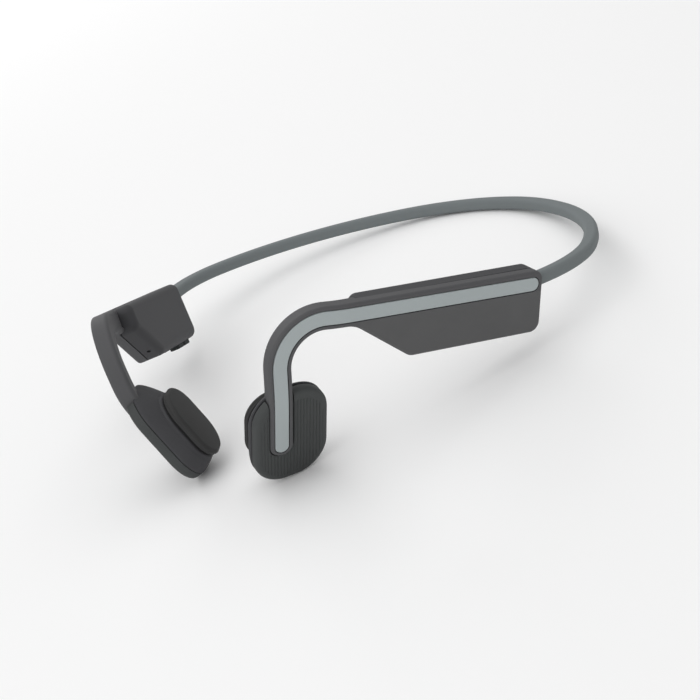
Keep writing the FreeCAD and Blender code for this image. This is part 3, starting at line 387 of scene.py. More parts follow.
@dataclass(frozen=True)
class RoundedRectangle:
    """A rounded rectangle about x = 0 at one level of a frame."""

    width: float
    tall: float
    corner: float
    level: float
    up: float = 0.0

    def inset(self, distance: float, level: float) -> "RoundedRectangle":
        """The same outline moved inwards, at another level."""
        corner = max(self.corner - distance, 0.05)
        return RoundedRectangle(self.width - 2 * distance, self.tall - 2 * distance, corner, level, self.up)

    def scaled(self, share: float, level: float) -> "RoundedRectangle":
        """The same outline shrunk about its middle, at another level."""
        return RoundedRectangle(self.width * share, self.tall * share, self.corner * share, level, self.up)

    def ring(self, place: Place, per_quarter: int = 18, per_side: int = 8) -> list[Vector]:
        """Its points, the same number whatever its size."""
        points = []
        across, above = self.width / 2 - self.corner, self.tall / 2 - self.corner
        quarters = [(across, above), (-across, above), (-across, -above), (across, -above)]
        for quarter, (x, y) in enumerate(quarters):
            for step in range(per_quarter + 1):
                angle = math.radians(90 * (quarter + step / per_quarter))
                points.append((x + self.corner * math.cos(angle), y + self.corner * math.sin(angle)))
            following = quarters[(quarter + 1) % 4]
            angle = math.radians(90 * (quarter + 1))
            start = points[-1]
            end = (following[0] + self.corner * math.cos(angle), following[1] + self.corner * math.sin(angle))
            for step in range(1, per_side):
                share = step / per_side
                points.append((start[0] + (end[0] - start[0]) * share,
                               start[1] + (end[1] - start[1]) * share))
        return [place(x, y + self.up, self.level) for x, y in points]


def quarter_round(radius: float, steps: int = 6) -> list[tuple[float, float]]:
    """(inset, drop) of a rounded edge, from the face to the wall."""
    turns = [math.radians(90 * step / steps) for step in range(steps + 1)]
    return [(radius * (1 - math.sin(turn)), radius * (1 - math.cos(turn))) for turn in turns]


# ---------------------------------------------------------------- shared shader effects

class Effect:
    """A shader node group under construction, with its named sockets."""

    def __init__(self, name: str, inputs: Sequence[tuple[str, str, object]],
                 outputs: Sequence[tuple[str, str]]) -> None:
        """Make the group and its sockets.

        Args:
            name: the group's name.
            inputs: (name, kind, default) of each input; kind is Float, Color or Vector.
            outputs: (name, kind) of each output.
        """
        self.tree = bpy.data.node_groups.new(name, "ShaderNodeTree")
        for label, kind, default in inputs:
            socket = self.tree.interface.new_socket(label, in_out="INPUT", socket_type="NodeSocket" + kind)
            if default is not None:
                socket.default_value = default
        for label, kind in outputs:
            self.tree.interface.new_socket(label, in_out="OUTPUT", socket_type="NodeSocket" + kind)
        self.start = self.tree.nodes.new("NodeGroupInput").outputs
        self.end = self.tree.nodes.new("NodeGroupOutput").inputs
        self.nodes = NodeDesk(self.tree)


class NodeDesk:
    """Short ways to add and join the nodes of one tree."""

    def __init__(self, tree: bpy.types.NodeTree) -> None:
        """Work in this tree."""
        self.tree = tree

    def join(self, source: object, target: bpy.types.NodeSocket) -> None:
        """Link a socket, or set a plain value."""
        if isinstance(source, bpy.types.NodeSocket):
            self.tree.links.new(source, target)
        else:
            target.default_value = source

    def math(self, operation: str, *values: object, clamp: bool = False) -> bpy.types.NodeSocket:
        """A Math node's result."""
        node = self.tree.nodes.new("ShaderNodeMath")
        node.operation = operation
        node.use_clamp = clamp
        for value, target in zip(values, node.inputs):
            self.join(value, target)
        return node.outputs[0]

    def scaled(self, vector: object, scale: object) -> bpy.types.NodeSocket:
        """A vector times a number."""
        node = self.tree.nodes.new("ShaderNodeVectorMath")
        node.operation = "SCALE"
        self.join(vector, node.inputs[0])
        self.join(scale, node.inputs["Scale"])
        return node.outputs[0]

    def stretched(self, vector: object, stretch: tuple[float, float, float],
                  turn: tuple[float, float, float] = (0, 0, 0)) -> bpy.types.NodeSocket:
        """A vector turned and then scaled along each axis."""
        node = self.tree.nodes.new("ShaderNodeMapping")
        node.vector_type = "TEXTURE"
        self.join(vector, node.inputs["Vector"])
        node.inputs["Rotation"].default_value = [math.radians(angle) for angle in turn]
        node.inputs["Scale"].default_value = [1 / share for share in stretch]
        return node.outputs[0]

    def noise(self, vector: object, scale: float = 1.0, detail: float = 3.0,
              rough: float = 0.55) -> bpy.types.NodeSocket:
        """A Noise texture's value."""
        node = self.tree.nodes.new("ShaderNodeTexNoise")
        self.join(vector, node.inputs["Vector"])
        node.inputs["Scale"].default_value = scale
        node.inputs["Detail"].default_value = detail
        node.inputs["Roughness"].default_value = rough
        return node.outputs["Fac"]

    def cells(self, vector: object, scale: float = 1.0, feature: str = "SMOOTH_F1") -> bpy.types.NodeSocket:
        """A Voronoi texture's distance."""
        node = self.tree.nodes.new("ShaderNodeTexVoronoi")
        node.feature = feature
        self.join(vector, node.inputs["Vector"])
        node.inputs["Scale"].default_value = scale
        return node.outputs["Distance"]

    def spread(self, value: object, low: float, high: float, start: object = 0.0,
               end: object = 1.0) -> bpy.types.NodeSocket:
        """A value mapped from one range to another, held at the ends."""
        node = self.tree.nodes.new("ShaderNodeMapRange")
        self.join(value, node.inputs["Value"])
        node.inputs["From Min"].default_value = low
        node.inputs["From Max"].default_value = high
        self.join(start, node.inputs["To Min"])
        self.join(end, node.inputs["To Max"])
        return node.outputs[0]

    def mixed(self, share: object, first: object, second: object) -> bpy.types.NodeSocket:
        """Two colours mixed."""
        node = self.tree.nodes.new("ShaderNodeMix")
        node.data_type = "RGBA"
        self.join(share, node.inputs[0])
        self.join(first, node.inputs[6])
        self.join(second, node.inputs[7])
        return node.outputs[2]

    def group(self, tree: bpy.types.NodeTree, **values: object) -> dict[str, bpy.types.NodeSocket]:
        """A group node with its inputs set by name, spaces as underscores; returns its outputs."""
        node = self.tree.nodes.new("ShaderNodeGroup")
        node.node_tree = tree
        for label, value in values.items():
            self.join(value, node.inputs[label.replace("_", " ")])
        return {output.name: output for output in node.outputs}


class SharedEffects:
    """The node groups that several finishes use, each made once."""

    _made: dict[str, bpy.types.NodeTree] = {}

    @classmethod
    def get(cls, name: str) -> bpy.types.NodeTree:
        """The group of that name, made at its first use."""
        if name not in cls._made:
            cls._made[name] = getattr(cls, "_" + name)()
        return cls._made[name]

    @staticmethod
    def _moulded_grain() -> bpy.types.NodeTree:
        """Fine eroded grain of a mould's surface, as a height."""
        effect = Effect("moulded_grain",
                        [("Vector", "Vector", None), ("Fineness", "Float", 4000.0), ("Depth", "Float", 1.0)],
                        [("Height", "Float")])
        desk = effect.nodes
        fine = desk.scaled(effect.start["Vector"], effect.start["Fineness"])
        pits = desk.cells(fine, 1.0)
        cloud = desk.noise(fine, 0.6, 2.0)
        height = desk.math("MULTIPLY", desk.math("ADD", desk.math("MULTIPLY", pits, 0.6), cloud),
                           effect.start["Depth"])
        desk.join(height, effect.end["Height"])
        return effect.tree

    @staticmethod
    def _handled_tone() -> bpy.types.NodeTree:
        """Slow drift of colour and gloss, with faint finger smudges."""
        effect = Effect("handled_tone",
                        [("Vector", "Vector", None), ("Colour", "Color", (0.1, 0.1, 0.1, 1)),
                         ("Drift", "Float", 0.1), ("Roughness", "Float", 0.5), ("Smudge", "Float", 0.08)],
                        [("Colour", "Color"), ("Roughness", "Float")])
        desk = effect.nodes
        slow = desk.noise(effect.start["Vector"], 70.0, 4.0)
        fine = desk.noise(effect.start["Vector"], 2600.0, 2.0)
        swing = desk.math("ADD", desk.math("MULTIPLY", slow, 0.7), desk.math("MULTIPLY", fine, 0.3))
        offset = desk.math("MULTIPLY", desk.math("SUBTRACT", swing, 0.5), effect.start["Drift"])
        tone = desk.tree.nodes.new("ShaderNodeHueSaturation")
        desk.join(effect.start["Colour"], tone.inputs["Color"])
        desk.join(desk.math("ADD", 1.0, desk.math("MULTIPLY", offset, 2.0)), tone.inputs["Value"])
        desk.join(tone.outputs[0], effect.end["Colour"])
        smudge = desk.spread(desk.noise(effect.start["Vector"], 160.0, 5.0, 0.65), 0.42, 0.62)
        rough = desk.math("ADD", effect.start["Roughness"],
                          desk.math("MULTIPLY", desk.math("SUBTRACT", smudge, 0.5), effect.start["Smudge"]),
                          clamp=True)
        desk.join(rough, effect.end["Roughness"])
        return effect.tree

    @staticmethod
    def _edge_wear() -> bpy.types.NodeTree:
        """Edges rubbed a little paler and smoother."""
        effect = Effect("edge_wear",
                        [("Vector", "Vector", None), ("Colour", "Color", (0.1, 0.1, 0.1, 1)),
                         ("Worn", "Color", (0.2, 0.2, 0.2, 1)), ("Roughness", "Float", 0.5),
                         ("Amount", "Float", 0.3)],
                        [("Colour", "Color"), ("Roughness", "Float")])
        desk = effect.nodes
        edges = desk.spread(desk.tree.nodes.new("ShaderNodeNewGeometry").outputs["Pointiness"], 0.52, 0.60)
        broken = desk.spread(desk.noise(effect.start["Vector"], 900.0, 4.0), 0.35, 0.65)
        rubbed = desk.math("MULTIPLY", edges, broken)
        share = desk.math("MULTIPLY", rubbed, effect.start["Amount"], clamp=True)
        desk.join(desk.mixed(share, effect.start["Colour"], effect.start["Worn"]), effect.end["Colour"])
        smooth = desk.math("SUBTRACT", effect.start["Roughness"], desk.math("MULTIPLY", share, 0.12),
                           clamp=True)
        desk.join(smooth, effect.end["Roughness"])
        return effect.tree

    @staticmethod
    def _settled_dust() -> bpy.types.NodeTree:
        """A few pale specks on upward faces."""
        effect = Effect("settled_dust",
                        [("Vector", "Vector", None), ("Colour", "Color", (0.1, 0.1, 0.1, 1)),
                         ("Amount", "Float", 0.1)],
                        [("Colour", "Color")])
        desk = effect.nodes
        dots = desk.spread(desk.cells(effect.start["Vector"], 1500.0, "F1"), 0.05, 0.16, 1.0, 0.0)
        patches = desk.spread(desk.noise(effect.start["Vector"], 220.0), 0.55, 0.7)
        split = desk.tree.nodes.new("ShaderNodeSeparateXYZ")
        desk.join(desk.tree.nodes.new("ShaderNodeNewGeometry").outputs["Normal"], split.inputs[0])
        upward = desk.spread(split.outputs[2], 0.2, 0.9)
        share = desk.math("MULTIPLY", desk.math("MULTIPLY", dots, patches),
                          desk.math("MULTIPLY", upward, effect.start["Amount"]), clamp=True)
        desk.join(desk.mixed(share, effect.start["Colour"], (0.5, 0.5, 0.48, 1)), effect.end["Colour"])
        return effect.tree


# ---------------------------------------------------------------- finishes

class Pattern(Enum):
    """What a finish shows beyond its grain."""

    PLAIN = "plain"
    BRUSHED = "brushed"
    WOUND = "wound"
    BOARD = "board"
    FOAM = "foam"
    FOIL = "foil"


@dataclass(frozen=True)
class Finish:
    """One finish and the numbers that make its material.

    Attributes:
        name: the material's name.
        colour: linear base colour.
        roughness: roughness before drift and wear.
        worn: linear colour of rubbed edges, also the second colour of the patterns; in the wound pattern it
            fills the grooves between turns as painted shade.
        wear: how much the edges show it, 0 to 1.
        grain: size of the mould's grain in millimetres.
        relief: height of the grain in millimetres.
        drift: share that the tone swings by.
        smudge: swing of the roughness.
        dust: amount of settled specks.
        metallic, specular, coat, coat_roughness, sheen, sheen_roughness: the shader's own values.
        transmission: share of light let through, for a light pipe.
        pattern: what it shows beyond its grain.
    """

    name: str
    colour: tuple[float, float, float]
    roughness: float
    worn: tuple[float, float, float] = (0.16, 0.16, 0.165)
    wear: float = 0.25
    grain: float = 0.16
    relief: float = 0.012
    drift: float = 0.10
    smudge: float = 0.08
    dust: float = 0.0
    metallic: float = 0.0
    specular: float = 0.5
    coat: float = 0.0
    coat_roughness: float = 0.25
    sheen: float = 0.0
    sheen_roughness: float = 0.5
    transmission: float = 0.0
    pattern: Pattern = Pattern.PLAIN

    def material(self) -> bpy.types.Material:
        """The material, made at its first use."""
        made = bpy.data.materials.get(self.name)
        if made:
            return made
        made = bpy.data.materials.new(self.name)
        made.use_nodes = True
        desk = NodeDesk(made.node_tree)
        shader = made.node_tree.nodes["Principled BSDF"]
        vector = made.node_tree.nodes.new("ShaderNodeTexCoord").outputs["Object"]
        tone = desk.group(SharedEffects.get("handled_tone"), Vector=vector, Colour=(*self.colour, 1),
                          Drift=self.drift, Roughness=self.roughness, Smudge=self.smudge)
        worn = desk.group(SharedEffects.get("edge_wear"), Vector=vector, Colour=tone["Colour"],
                          Worn=(*self.worn, 1), Roughness=tone["Roughness"], Amount=self.wear)
        grain = desk.group(SharedEffects.get("moulded_grain"), Vector=vector,
                           Fineness=1 / (self.grain * MM), Depth=1.0)
        colour, height = self._patterned(desk, vector, worn["Colour"], grain["Height"])
        if self.dust:
            colour = desk.group(SharedEffects.get("settled_dust"), Vector=vector, Colour=colour,
                                Amount=self.dust)["Colour"]
        bump = made.node_tree.nodes.new("ShaderNodeBump")
        bump.inputs["Distance"].default_value = self.relief * MM
        bump.inputs["Strength"].default_value = 1.0
        desk.join(height, bump.inputs["Height"])
        desk.join(bump.outputs[0], shader.inputs["Normal"])
        desk.join(colour, shader.inputs["Base Color"])
        desk.join(worn["Roughness"], shader.inputs["Roughness"])
        for socket, value in (("Metallic", self.metallic), ("Specular IOR Level", self.specular),
                              ("Coat Weight", self.coat), ("Coat Roughness", self.coat_roughness),
                              ("Sheen Weight", self.sheen), ("Sheen Roughness", self.sheen_roughness),
                              ("Transmission Weight", self.transmission)):
            shader.inputs[socket].default_value = value
        return made

    def _patterned(self, desk: NodeDesk, vector: bpy.types.NodeSocket, colour: bpy.types.NodeSocket,
                   height: bpy.types.NodeSocket) -> tuple[bpy.types.NodeSocket, bpy.types.NodeSocket]:
        """Colour and height with the finish's pattern laid over its grain."""
        if self.pattern is Pattern.BRUSHED:
            lines = desk.noise(desk.stretched(vector, (9000, 9000, 260), (40, 25, 0)), 1.0, 2.0)
            return desk.mixed(desk.spread(lines, 0.3, 0.7), colour, (*self.worn, 1)), lines
        if self.pattern is Pattern.WOUND:
            wave = desk.tree.nodes.new("ShaderNodeTexWave")
            desk.join(vector, wave.inputs["Vector"])
            wave.bands_direction = "DIAGONAL"
            wave.inputs["Scale"].default_value = 1500
            wave.inputs["Distortion"].default_value = 0.4
            # The dark worn colour lands where the wave is low, in the grooves between turns: painted shade.
            return desk.mixed(wave.outputs["Fac"], (*self.worn, 1), colour), wave.outputs["Fac"]
        if self.pattern is Pattern.BOARD:
            tracks = desk.spread(desk.cells(desk.stretched(vector, (900, 300, 900), (0, 20, 27)), 1.0,
                                            "DISTANCE_TO_EDGE"), 0.03, 0.06, 1.0, 0.0)
            return desk.mixed(tracks, colour, (*self.worn, 1)), tracks
        if self.pattern is Pattern.FOAM:
            # Pore centres, the pits of the bump, are mixed to near-black: painted shade in the pores.
            pores = desk.cells(vector, 2600.0, "F1")
            return desk.mixed(desk.spread(pores, 0.0, 0.5), (0.01, 0.01, 0.01, 1), colour), pores
        if self.pattern is Pattern.FOIL:
            creases = desk.noise(vector, 500.0, 6.0, 0.7)
            return desk.mixed(desk.spread(creases, 0.35, 0.65), colour, (*self.worn, 1)), creases
        return colour, height


FRAME_PLASTIC = Finish("frame_plastic", (0.009, 0.0092, 0.0098), 0.36, worn=(0.05, 0.05, 0.052), wear=0.12,
                       specular=0.18, grain=0.12, relief=0.005, dust=0.04)
# A lighter copy of the frame plastic for the cover's outward flat: painted light where the key falls on that
# face.
PAINTED_LIGHT_PANEL = Finish("painted_light_panel", (0.075, 0.0755, 0.077), 0.5, worn=(0.09, 0.09, 0.092), wear=0.12,
                       grain=0.11, relief=0.006, dust=0.05)
SHELL_COATING = Finish("shell_coating", (0.013, 0.0132, 0.014), 0.42, worn=(0.05, 0.05, 0.052), wear=0.12,
                       specular=0.2, grain=0.10, relief=0.005, sheen=0.03, dust=0.05)
CAP_PLASTIC = Finish("cap_plastic", (0.010, 0.0102, 0.011), 0.34, worn=(0.07, 0.07, 0.072), wear=0.25,
                     grain=0.10, relief=0.004, dust=0.03)
TRIM_PAINT = Finish("trim_paint", (0.36, 0.40, 0.405), 0.36, worn=(0.42, 0.43, 0.44), grain=0.07,
                    relief=0.003, drift=0.05, coat=0.15, coat_roughness=0.35)
BAND_SILICONE = Finish("band_silicone", (0.045, 0.052, 0.056), 0.48, worn=(0.11, 0.12, 0.125), wear=0.12,
                       grain=0.09, relief=0.006, sheen=0.06, drift=0.08, dust=0.08)
PAD_SILICONE = Finish("pad_silicone", (0.003, 0.003, 0.0032), 0.50, worn=(0.02, 0.02, 0.02), wear=0.1,
                      specular=0.12, grain=0.09, relief=0.006,
                      sheen=0.04, dust=0.05)
SEAL_RUBBER = Finish("seal_rubber", (0.008, 0.008, 0.008), 0.7, wear=0.0, grain=0.08, relief=0.008)
BUTTON_RUBBER = Finish("button_rubber", (0.008, 0.008, 0.009), 0.5, wear=0.3, grain=0.08, relief=0.006)
TITANIUM = Finish("titanium", (0.46, 0.44, 0.42), 0.34, worn=(0.6, 0.58, 0.55), metallic=1.0, relief=0.004,
                  pattern=Pattern.BRUSHED)
CABLE_JACKET = Finish("cable_jacket", (0.03, 0.03, 0.032), 0.45, grain=0.06, relief=0.003)
YOKE_STEEL = Finish("yoke_steel", (0.38, 0.38, 0.40), 0.36, worn=(0.55, 0.55, 0.56), metallic=1.0,
                    relief=0.005, pattern=Pattern.BRUSHED)
MAGNET_NICKEL = Finish("magnet_nickel", (0.56, 0.55, 0.52), 0.16, worn=(0.7, 0.69, 0.66), metallic=1.0,
                       relief=0.002, smudge=0.12)
# Its dark worn colour also fills the grooves of the wound pattern: painted shade.
COIL_COPPER = Finish("coil_copper", (0.52, 0.22, 0.10), 0.30, worn=(0.22, 0.08, 0.03), metallic=1.0,
                     relief=0.03, coat=0.6, pattern=Pattern.WOUND)
BOBBIN_PLASTIC = Finish("bobbin_plastic", (0.02, 0.02, 0.02), 0.4)
BOARD_LAMINATE = Finish("board_laminate", (0.012, 0.075, 0.035), 0.32, worn=(0.03, 0.17, 0.08), relief=0.02,
                        coat=0.4, pattern=Pattern.BOARD)
SWITCH_PLASTIC = Finish("switch_plastic", (0.03, 0.03, 0.03), 0.42, wear=0.4)
PORT_STEEL = Finish("port_steel", (0.5, 0.5, 0.5), 0.3, worn=(0.66, 0.66, 0.66), metallic=1.0, relief=0.004,
                    pattern=Pattern.BRUSHED)
LIGHT_PIPE = Finish("light_pipe", (0.75, 0.78, 0.8), 0.25, grain=0.2, relief=0.004, transmission=0.6)
CELL_FOIL = Finish("cell_foil", (0.42, 0.43, 0.45), 0.28, worn=(0.62, 0.63, 0.65), metallic=1.0, relief=0.03,
                   pattern=Pattern.FOIL)
# Its pores are darkened at their pits: painted shade.
FOAM = Finish("foam", (0.035, 0.035, 0.037), 0.9, wear=0.0, relief=0.08, pattern=Pattern.FOAM)


# ---------------------------------------------------------------- where the side pieces stand

POD = SlantedFrame((64.0, -4.51, 18.92), toe_in=27.36, nose_up=19.98, lean=6.1)
CAP = SlantedFrame(tuple(POD.point(-72.63, -32.4, -2.5)), toe_in=30.0, nose_up=10.1, lean=21.7)


@dataclass
class EarHook:
    """The outer cover and arm in one moulding, and the trim strip let into it.

    The route runs down the middle of the strip, from the pod's rear face to the centre of the
    tongue's round tip. Outlines are drawn as (along the route, across it), and across grows
    towards the pod's bottom and the inside of the arch.
    """

    side: Side
    half_width: float = 3.2
    half_thickness: float = 2.5
    middle_out: float = 2.2
    rear_up: float = 0.55
    arm_up: float = 1.2
    arm_start: float = 57.4
    pod_end: float = 61.2
    settle: float = 63.0
    arch_corner: tuple[float, float, float] = (79.9, 1.5, -0.2)
    tongue_forward: float = 3.2
    tongue_bend_up: float = 14.5
    tip_up: float = -1.7
    tongue_out: float = -1.6
    bend_radii: tuple[float, float, float] = (38.0, 12.3, 25.0)
    cover_back: float = -0.6
    cover_rim: float = 0.12
    arm_rim: float = 1.2
    face_rim: float = 0.82
    flat_border: float = 0.04
    bed_chamfer: float = 0.06
    wall: float = 1.3
    strip_depth: float = 0.8
    strip_half: float = 1.9
    strip_gap: float = 0.2
    strip_edge: float = 0.18
    strip_sunk: float = 0.04
    strip_rear: float = 1.35
    strip_margin: float = 1.3
    route: Route = field(init=False)

    def __post_init__(self) -> None:
        """Lay the route through pod, arch and tongue."""
        forward, up, out = self.arch_corner
        corners = [POD.point(0, self.rear_up, self.middle_out),
                   POD.point(-self.settle, self.arm_up, self.middle_out),
                   POD.point(-forward, up, out),
                   CAP.point(-self.tongue_forward, self.tongue_bend_up, self.tongue_out),
                   CAP.point(-self.tongue_forward, self.tip_up, self.tongue_out)]
        self.route = Route.through(corners, self.bend_radii, POD.axes()[2])

    def below(self, along: float, up: float) -> float:
        """Distance across the route of a height in the pod frame."""
        return self.rear_up + (self.arm_up - self.rear_up) * along / self.settle - up

    def outline(self) -> list[Vector]:
        """Outline of cover and arm together."""
        tip = self.route.length + self.half_width
        wide = self.half_width
        return rounded_outline([(0, self.below(0, 4.2), 2.6),
                                (self.arm_start - 0.1, self.below(self.arm_start, 4.4), 0),
                                (self.arm_start + 0.1, self.below(self.arm_start, 4.4), 0),
                                (self.pod_end, -wide, 20), (tip, -wide, wide), (tip, wide, wide),
                                (58.7, wide, 8.0), (41.5, self.below(41.5, -13.3), 4.0),
                                (0, self.below(0, -13.3), 3.0)], 0.8)

    def strip_outline(self, half: float) -> list[Vector]:
        """Round-ended outline of the strip, or of its bed when the half width is larger."""
        grown = half - self.strip_half
        rear = self.strip_rear - grown
        tip = self.route.length + self.half_width - self.strip_margin + grown
        return rounded_outline([(rear, -half, half), (tip, -half, half), (tip, half, half),
                                (rear, half, half)], 0.8, 0.25)

    def hollow_outline(self) -> list[Vector]:
        """Outline of the cover's hollow."""
        front = 55.7
        return rounded_outline([(self.wall, self.below(self.wall, 2.9), 0.8),
                                (front, self.below(front, 2.9), 0.8),
                                (front, self.below(front, -2.67), 0.8),
                                (41.5, self.below(41.5, -12.0), 1.5),
                                (self.wall, self.below(self.wall, -12.0), 1.5)], 3.0)

    def placed(self, loop: Sequence[Vector], level: Callable[[float], float]) -> list[Vector]:
        """An outline's points in the row frame, at a level that may change along the route."""
        return [self.route.place(point.x, point.y, level(point.x)) for point in loop]

    def back_ring(self, outline: Sequence[Vector], share: float,
                  drop: float) -> tuple[list[Vector], list[Vector]]:
        """One ring of the edge at the back, which is rounder on the arm than on the cover.

        Args:
            outline: the moulding's flat outline.
            share: how far in the ring is, as a share of the rim's radius.
            drop: how far it stands off the back, as the same share.

        Returns:
            The ring's flat points and its points in the row frame.
        """
        narrow = inset_loop(outline, self.arm_rim * share)
        thin = inset_loop(outline, self.cover_rim * share)
        loop, placed = [], []
        for point, on_arm, on_cover in zip(outline, narrow, thin):
            is_arm = point.x > self.arm_start
            spot = on_arm if is_arm else on_cover
            back = -self.half_thickness if is_arm else self.cover_back
            level = back + (self.arm_rim if is_arm else self.cover_rim) * drop
            loop.append(spot)
            placed.append(self.route.place(spot.x, spot.y, level))
        return loop, placed

    def build_frame(self) -> bpy.types.Object:
        """The moulding, with its hollow behind and the strip's bed in front."""
        maker = MeshMaker(self.side.word + "_side_frame", self.side)
        outline = self.outline()
        rounds = quarter_round(1.0)
        back_loop, first = self.back_ring(outline, rounds[0][0] + self.flat_border, 0.0)
        rings = [first] + [self.back_ring(outline, *step)[1] for step in rounds]
        for inset, drop in reversed(quarter_round(self.face_rim)):
            face_loop = inset_loop(outline, inset)
            rings.append([self.route.place(spot.x, spot.y, self.half_thickness - drop) for spot in face_loop])
        face_loop = inset_loop(outline, self.face_rim + self.flat_border)
        rings.append(self.placed(face_loop, lambda along: self.half_thickness))
        indices = maker.stack(rings)
        hollow = self.hollow_outline()
        ceiling = self.half_thickness - self.wall
        hollow_rings = maker.stack([self.placed(hollow, lambda along: self.cover_back),
                                    self.placed(hollow, lambda along: ceiling)])
        maker.fill((back_loop, indices[0]), (hollow, hollow_rings[0]))
        maker.fill((hollow, hollow_rings[1]))
        bed = self.strip_outline(self.strip_half + self.strip_gap)
        mouth = inset_loop(bed, -self.bed_chamfer)
        border = inset_loop(bed, -self.bed_chamfer - self.flat_border)
        floor = self.half_thickness - self.strip_depth
        bed_rings = maker.stack([self.placed(border, lambda along: self.half_thickness),
                                 self.placed(mouth, lambda along: self.half_thickness),
                                 self.placed(bed, lambda along: self.half_thickness - self.bed_chamfer),
                                 self.placed(bed, lambda along: floor)])
        maker.fill((face_loop, indices[-1]), (border, bed_rings[0]))
        maker.fill((bed, bed_rings[-1]))
        piece = maker.finish(FRAME_PLASTIC, self.side.body, "frame_plastic", [maker.name])
        self.coat_panel(piece)
        return piece

    def coat_panel(self, piece: bpy.types.Object) -> None:
        """Paint the cover's outward flat below the strip lighter than the rest of the moulding: painted light
        where the key falls on that face.
        """
        piece.data.materials.append(PAINTED_LIGHT_PANEL.material())
        start, reach = self.route.at(0), self.strip_half + self.strip_gap + 0.2
        # Faces on the outward flat, below the strip and ahead of the arm, take the lighter copy: painted
        # light.
        for face in piece.data.polygons:
            offset = self.side.place(face.center / MM) - start.point
            if offset.dot(start.out) > self.half_thickness - 0.25 and offset.dot(start.side) > reach:
                if offset.dot(start.heading) < self.arm_start:
                    face.material_index = 1

    def build_strip(self) -> bpy.types.Object:
        """The light strip in its bed."""
        maker = MeshMaker(self.side.word + "_trim_strip", self.side)
        outline = self.strip_outline(self.strip_half)
        floor = self.half_thickness - self.strip_depth
        top = self.half_thickness - self.strip_sunk
        rings = [self.placed(outline, lambda along: floor)]
        for inset, drop in reversed(quarter_round(self.strip_edge, 3)):
            loop = inset_loop(outline, inset)
            rings.append([self.route.place(spot.x, spot.y, top - drop) for spot in loop])
        indices = maker.stack(rings)
        maker.fill((outline, indices[0]))
        maker.fill((loop, indices[-1]))
        return maker.finish(TRIM_PAINT, self.side.body, "trim_plastic", [maker.name])

    def build(self) -> None:
        """Make both pieces."""
        self.build_frame()
        self.build_strip()


@dataclass(frozen=True)
class RibbedPlate:
    """A rounded plate with upright ribs on its face, seen along z from outside.

    Attributes:
        width, tall, corner: the outline.
        thickness: from the face to the back.
        edge: radius of the face's edge.
        pitch, relief: spacing and height of the ribs.
        margin: plain border beside the ribs.
        top_margin: plain border above them.
        fine: columns for each rib.
        rows: stations along a rib.
    """

    width: float
    tall: float
    corner: float
    thickness: float
    edge: float
    pitch: float
    relief: float
    margin: float
    top_margin: float
    fine: int = 12
    rows: int = 150

    def depth_inside(self, x: float, y: float, half_width: float, half_tall: float, corner: float) -> float:
        """How far a place is inside a rounded rectangle; negative outside."""
        across, above = abs(x) - (half_width - corner), abs(y) - (half_tall - corner)
        outside = math.hypot(max(across, 0.0), max(above, 0.0))
        return corner - outside - min(max(across, above), 0.0)

    def height(self, x: float, y: float) -> float:
        """Level of the face, with its half-round ribs fading out at the border."""
        lift = (self.top_margin - self.margin) / 2
        reach = self.depth_inside(x, y + lift, self.width / 2 - self.margin,
                                  self.tall / 2 - self.margin - lift, self.corner - self.margin)
        share = min(max(reach / 0.5, 0.0), 1.0)
        share = share * share * (3 - 2 * share)
        offset = (x / self.pitch + 0.5) % 1.0 - 0.5
        rib = math.sqrt(max(0.0, 1 - (offset * 1.96) ** 2))
        return -self.relief * (1 - rib) * share

    def half_height(self, x: float, half_width: float, half_tall: float, corner: float) -> float:
        """Half of the outline's height at a place across it."""
        across = max(0.0, abs(x) - (half_width - corner))
        return half_tall - corner + math.sqrt(max(0.0, corner * corner - across * across))

    def fill(self, maker: MeshMaker, place: Place) -> None:
        """Add the plate's closed surface to a mesh."""
        half_width, half_tall = self.width / 2 - self.edge, self.tall / 2 - self.edge
        corner = self.corner - self.edge
        columns = math.ceil(2 * half_width / self.pitch * self.fine)
        grid = []
        for column in range(columns + 1):
            x = -half_width + 2 * half_width * column / columns
            reach = self.half_height(x, half_width, half_tall, corner)
            ys = [reach * (2 * row / self.rows - 1) for row in range(self.rows + 1)]
            grid.append([(x, y) for y in ys])
        indices = [maker.ring([place(x, y, self.height(x, y)) for x, y in line]) for line in grid]
        for left, right in zip(indices, indices[1:]):
            for row in range(self.rows):
                maker.faces.append([left[row], right[row], right[row + 1], left[row + 1]])
        border = [(column, 0) for column in range(columns)]
        border += [(columns, row) for row in range(self.rows)]
        border += [(column, self.rows) for column in range(columns, 0, -1)]
        border += [(0, row) for row in range(self.rows, 0, -1)]
        rim = [indices[column][row] for column, row in border]
        spots = [grid[column][row] for column, row in border]
        outward = []
        for x, y in spots:
            away = Vector((math.copysign(max(abs(x) - (half_width - corner), 0.0), x),
                           math.copysign(max(abs(y) - (half_tall - corner), 0.0), y)))
            outward.append(away.normalized())
        steps = [(self.edge * math.sin(math.radians(15 * step)),
                  -self.edge * (1 - math.cos(math.radians(15 * step)))) for step in range(1, 7)]
        steps += [(self.edge, -self.thickness + 0.25), (self.edge - 0.1, -self.thickness + 0.06),
                  (self.edge - 0.3, -self.thickness)]
        for grown, level in steps:
            ring = maker.ring([place(x + away.x * grown, y + away.y * grown, level)
                               for (x, y), away in zip(spots, outward)])
            maker.bridge(rim, ring)
            rim = ring
        maker.cap(rim)


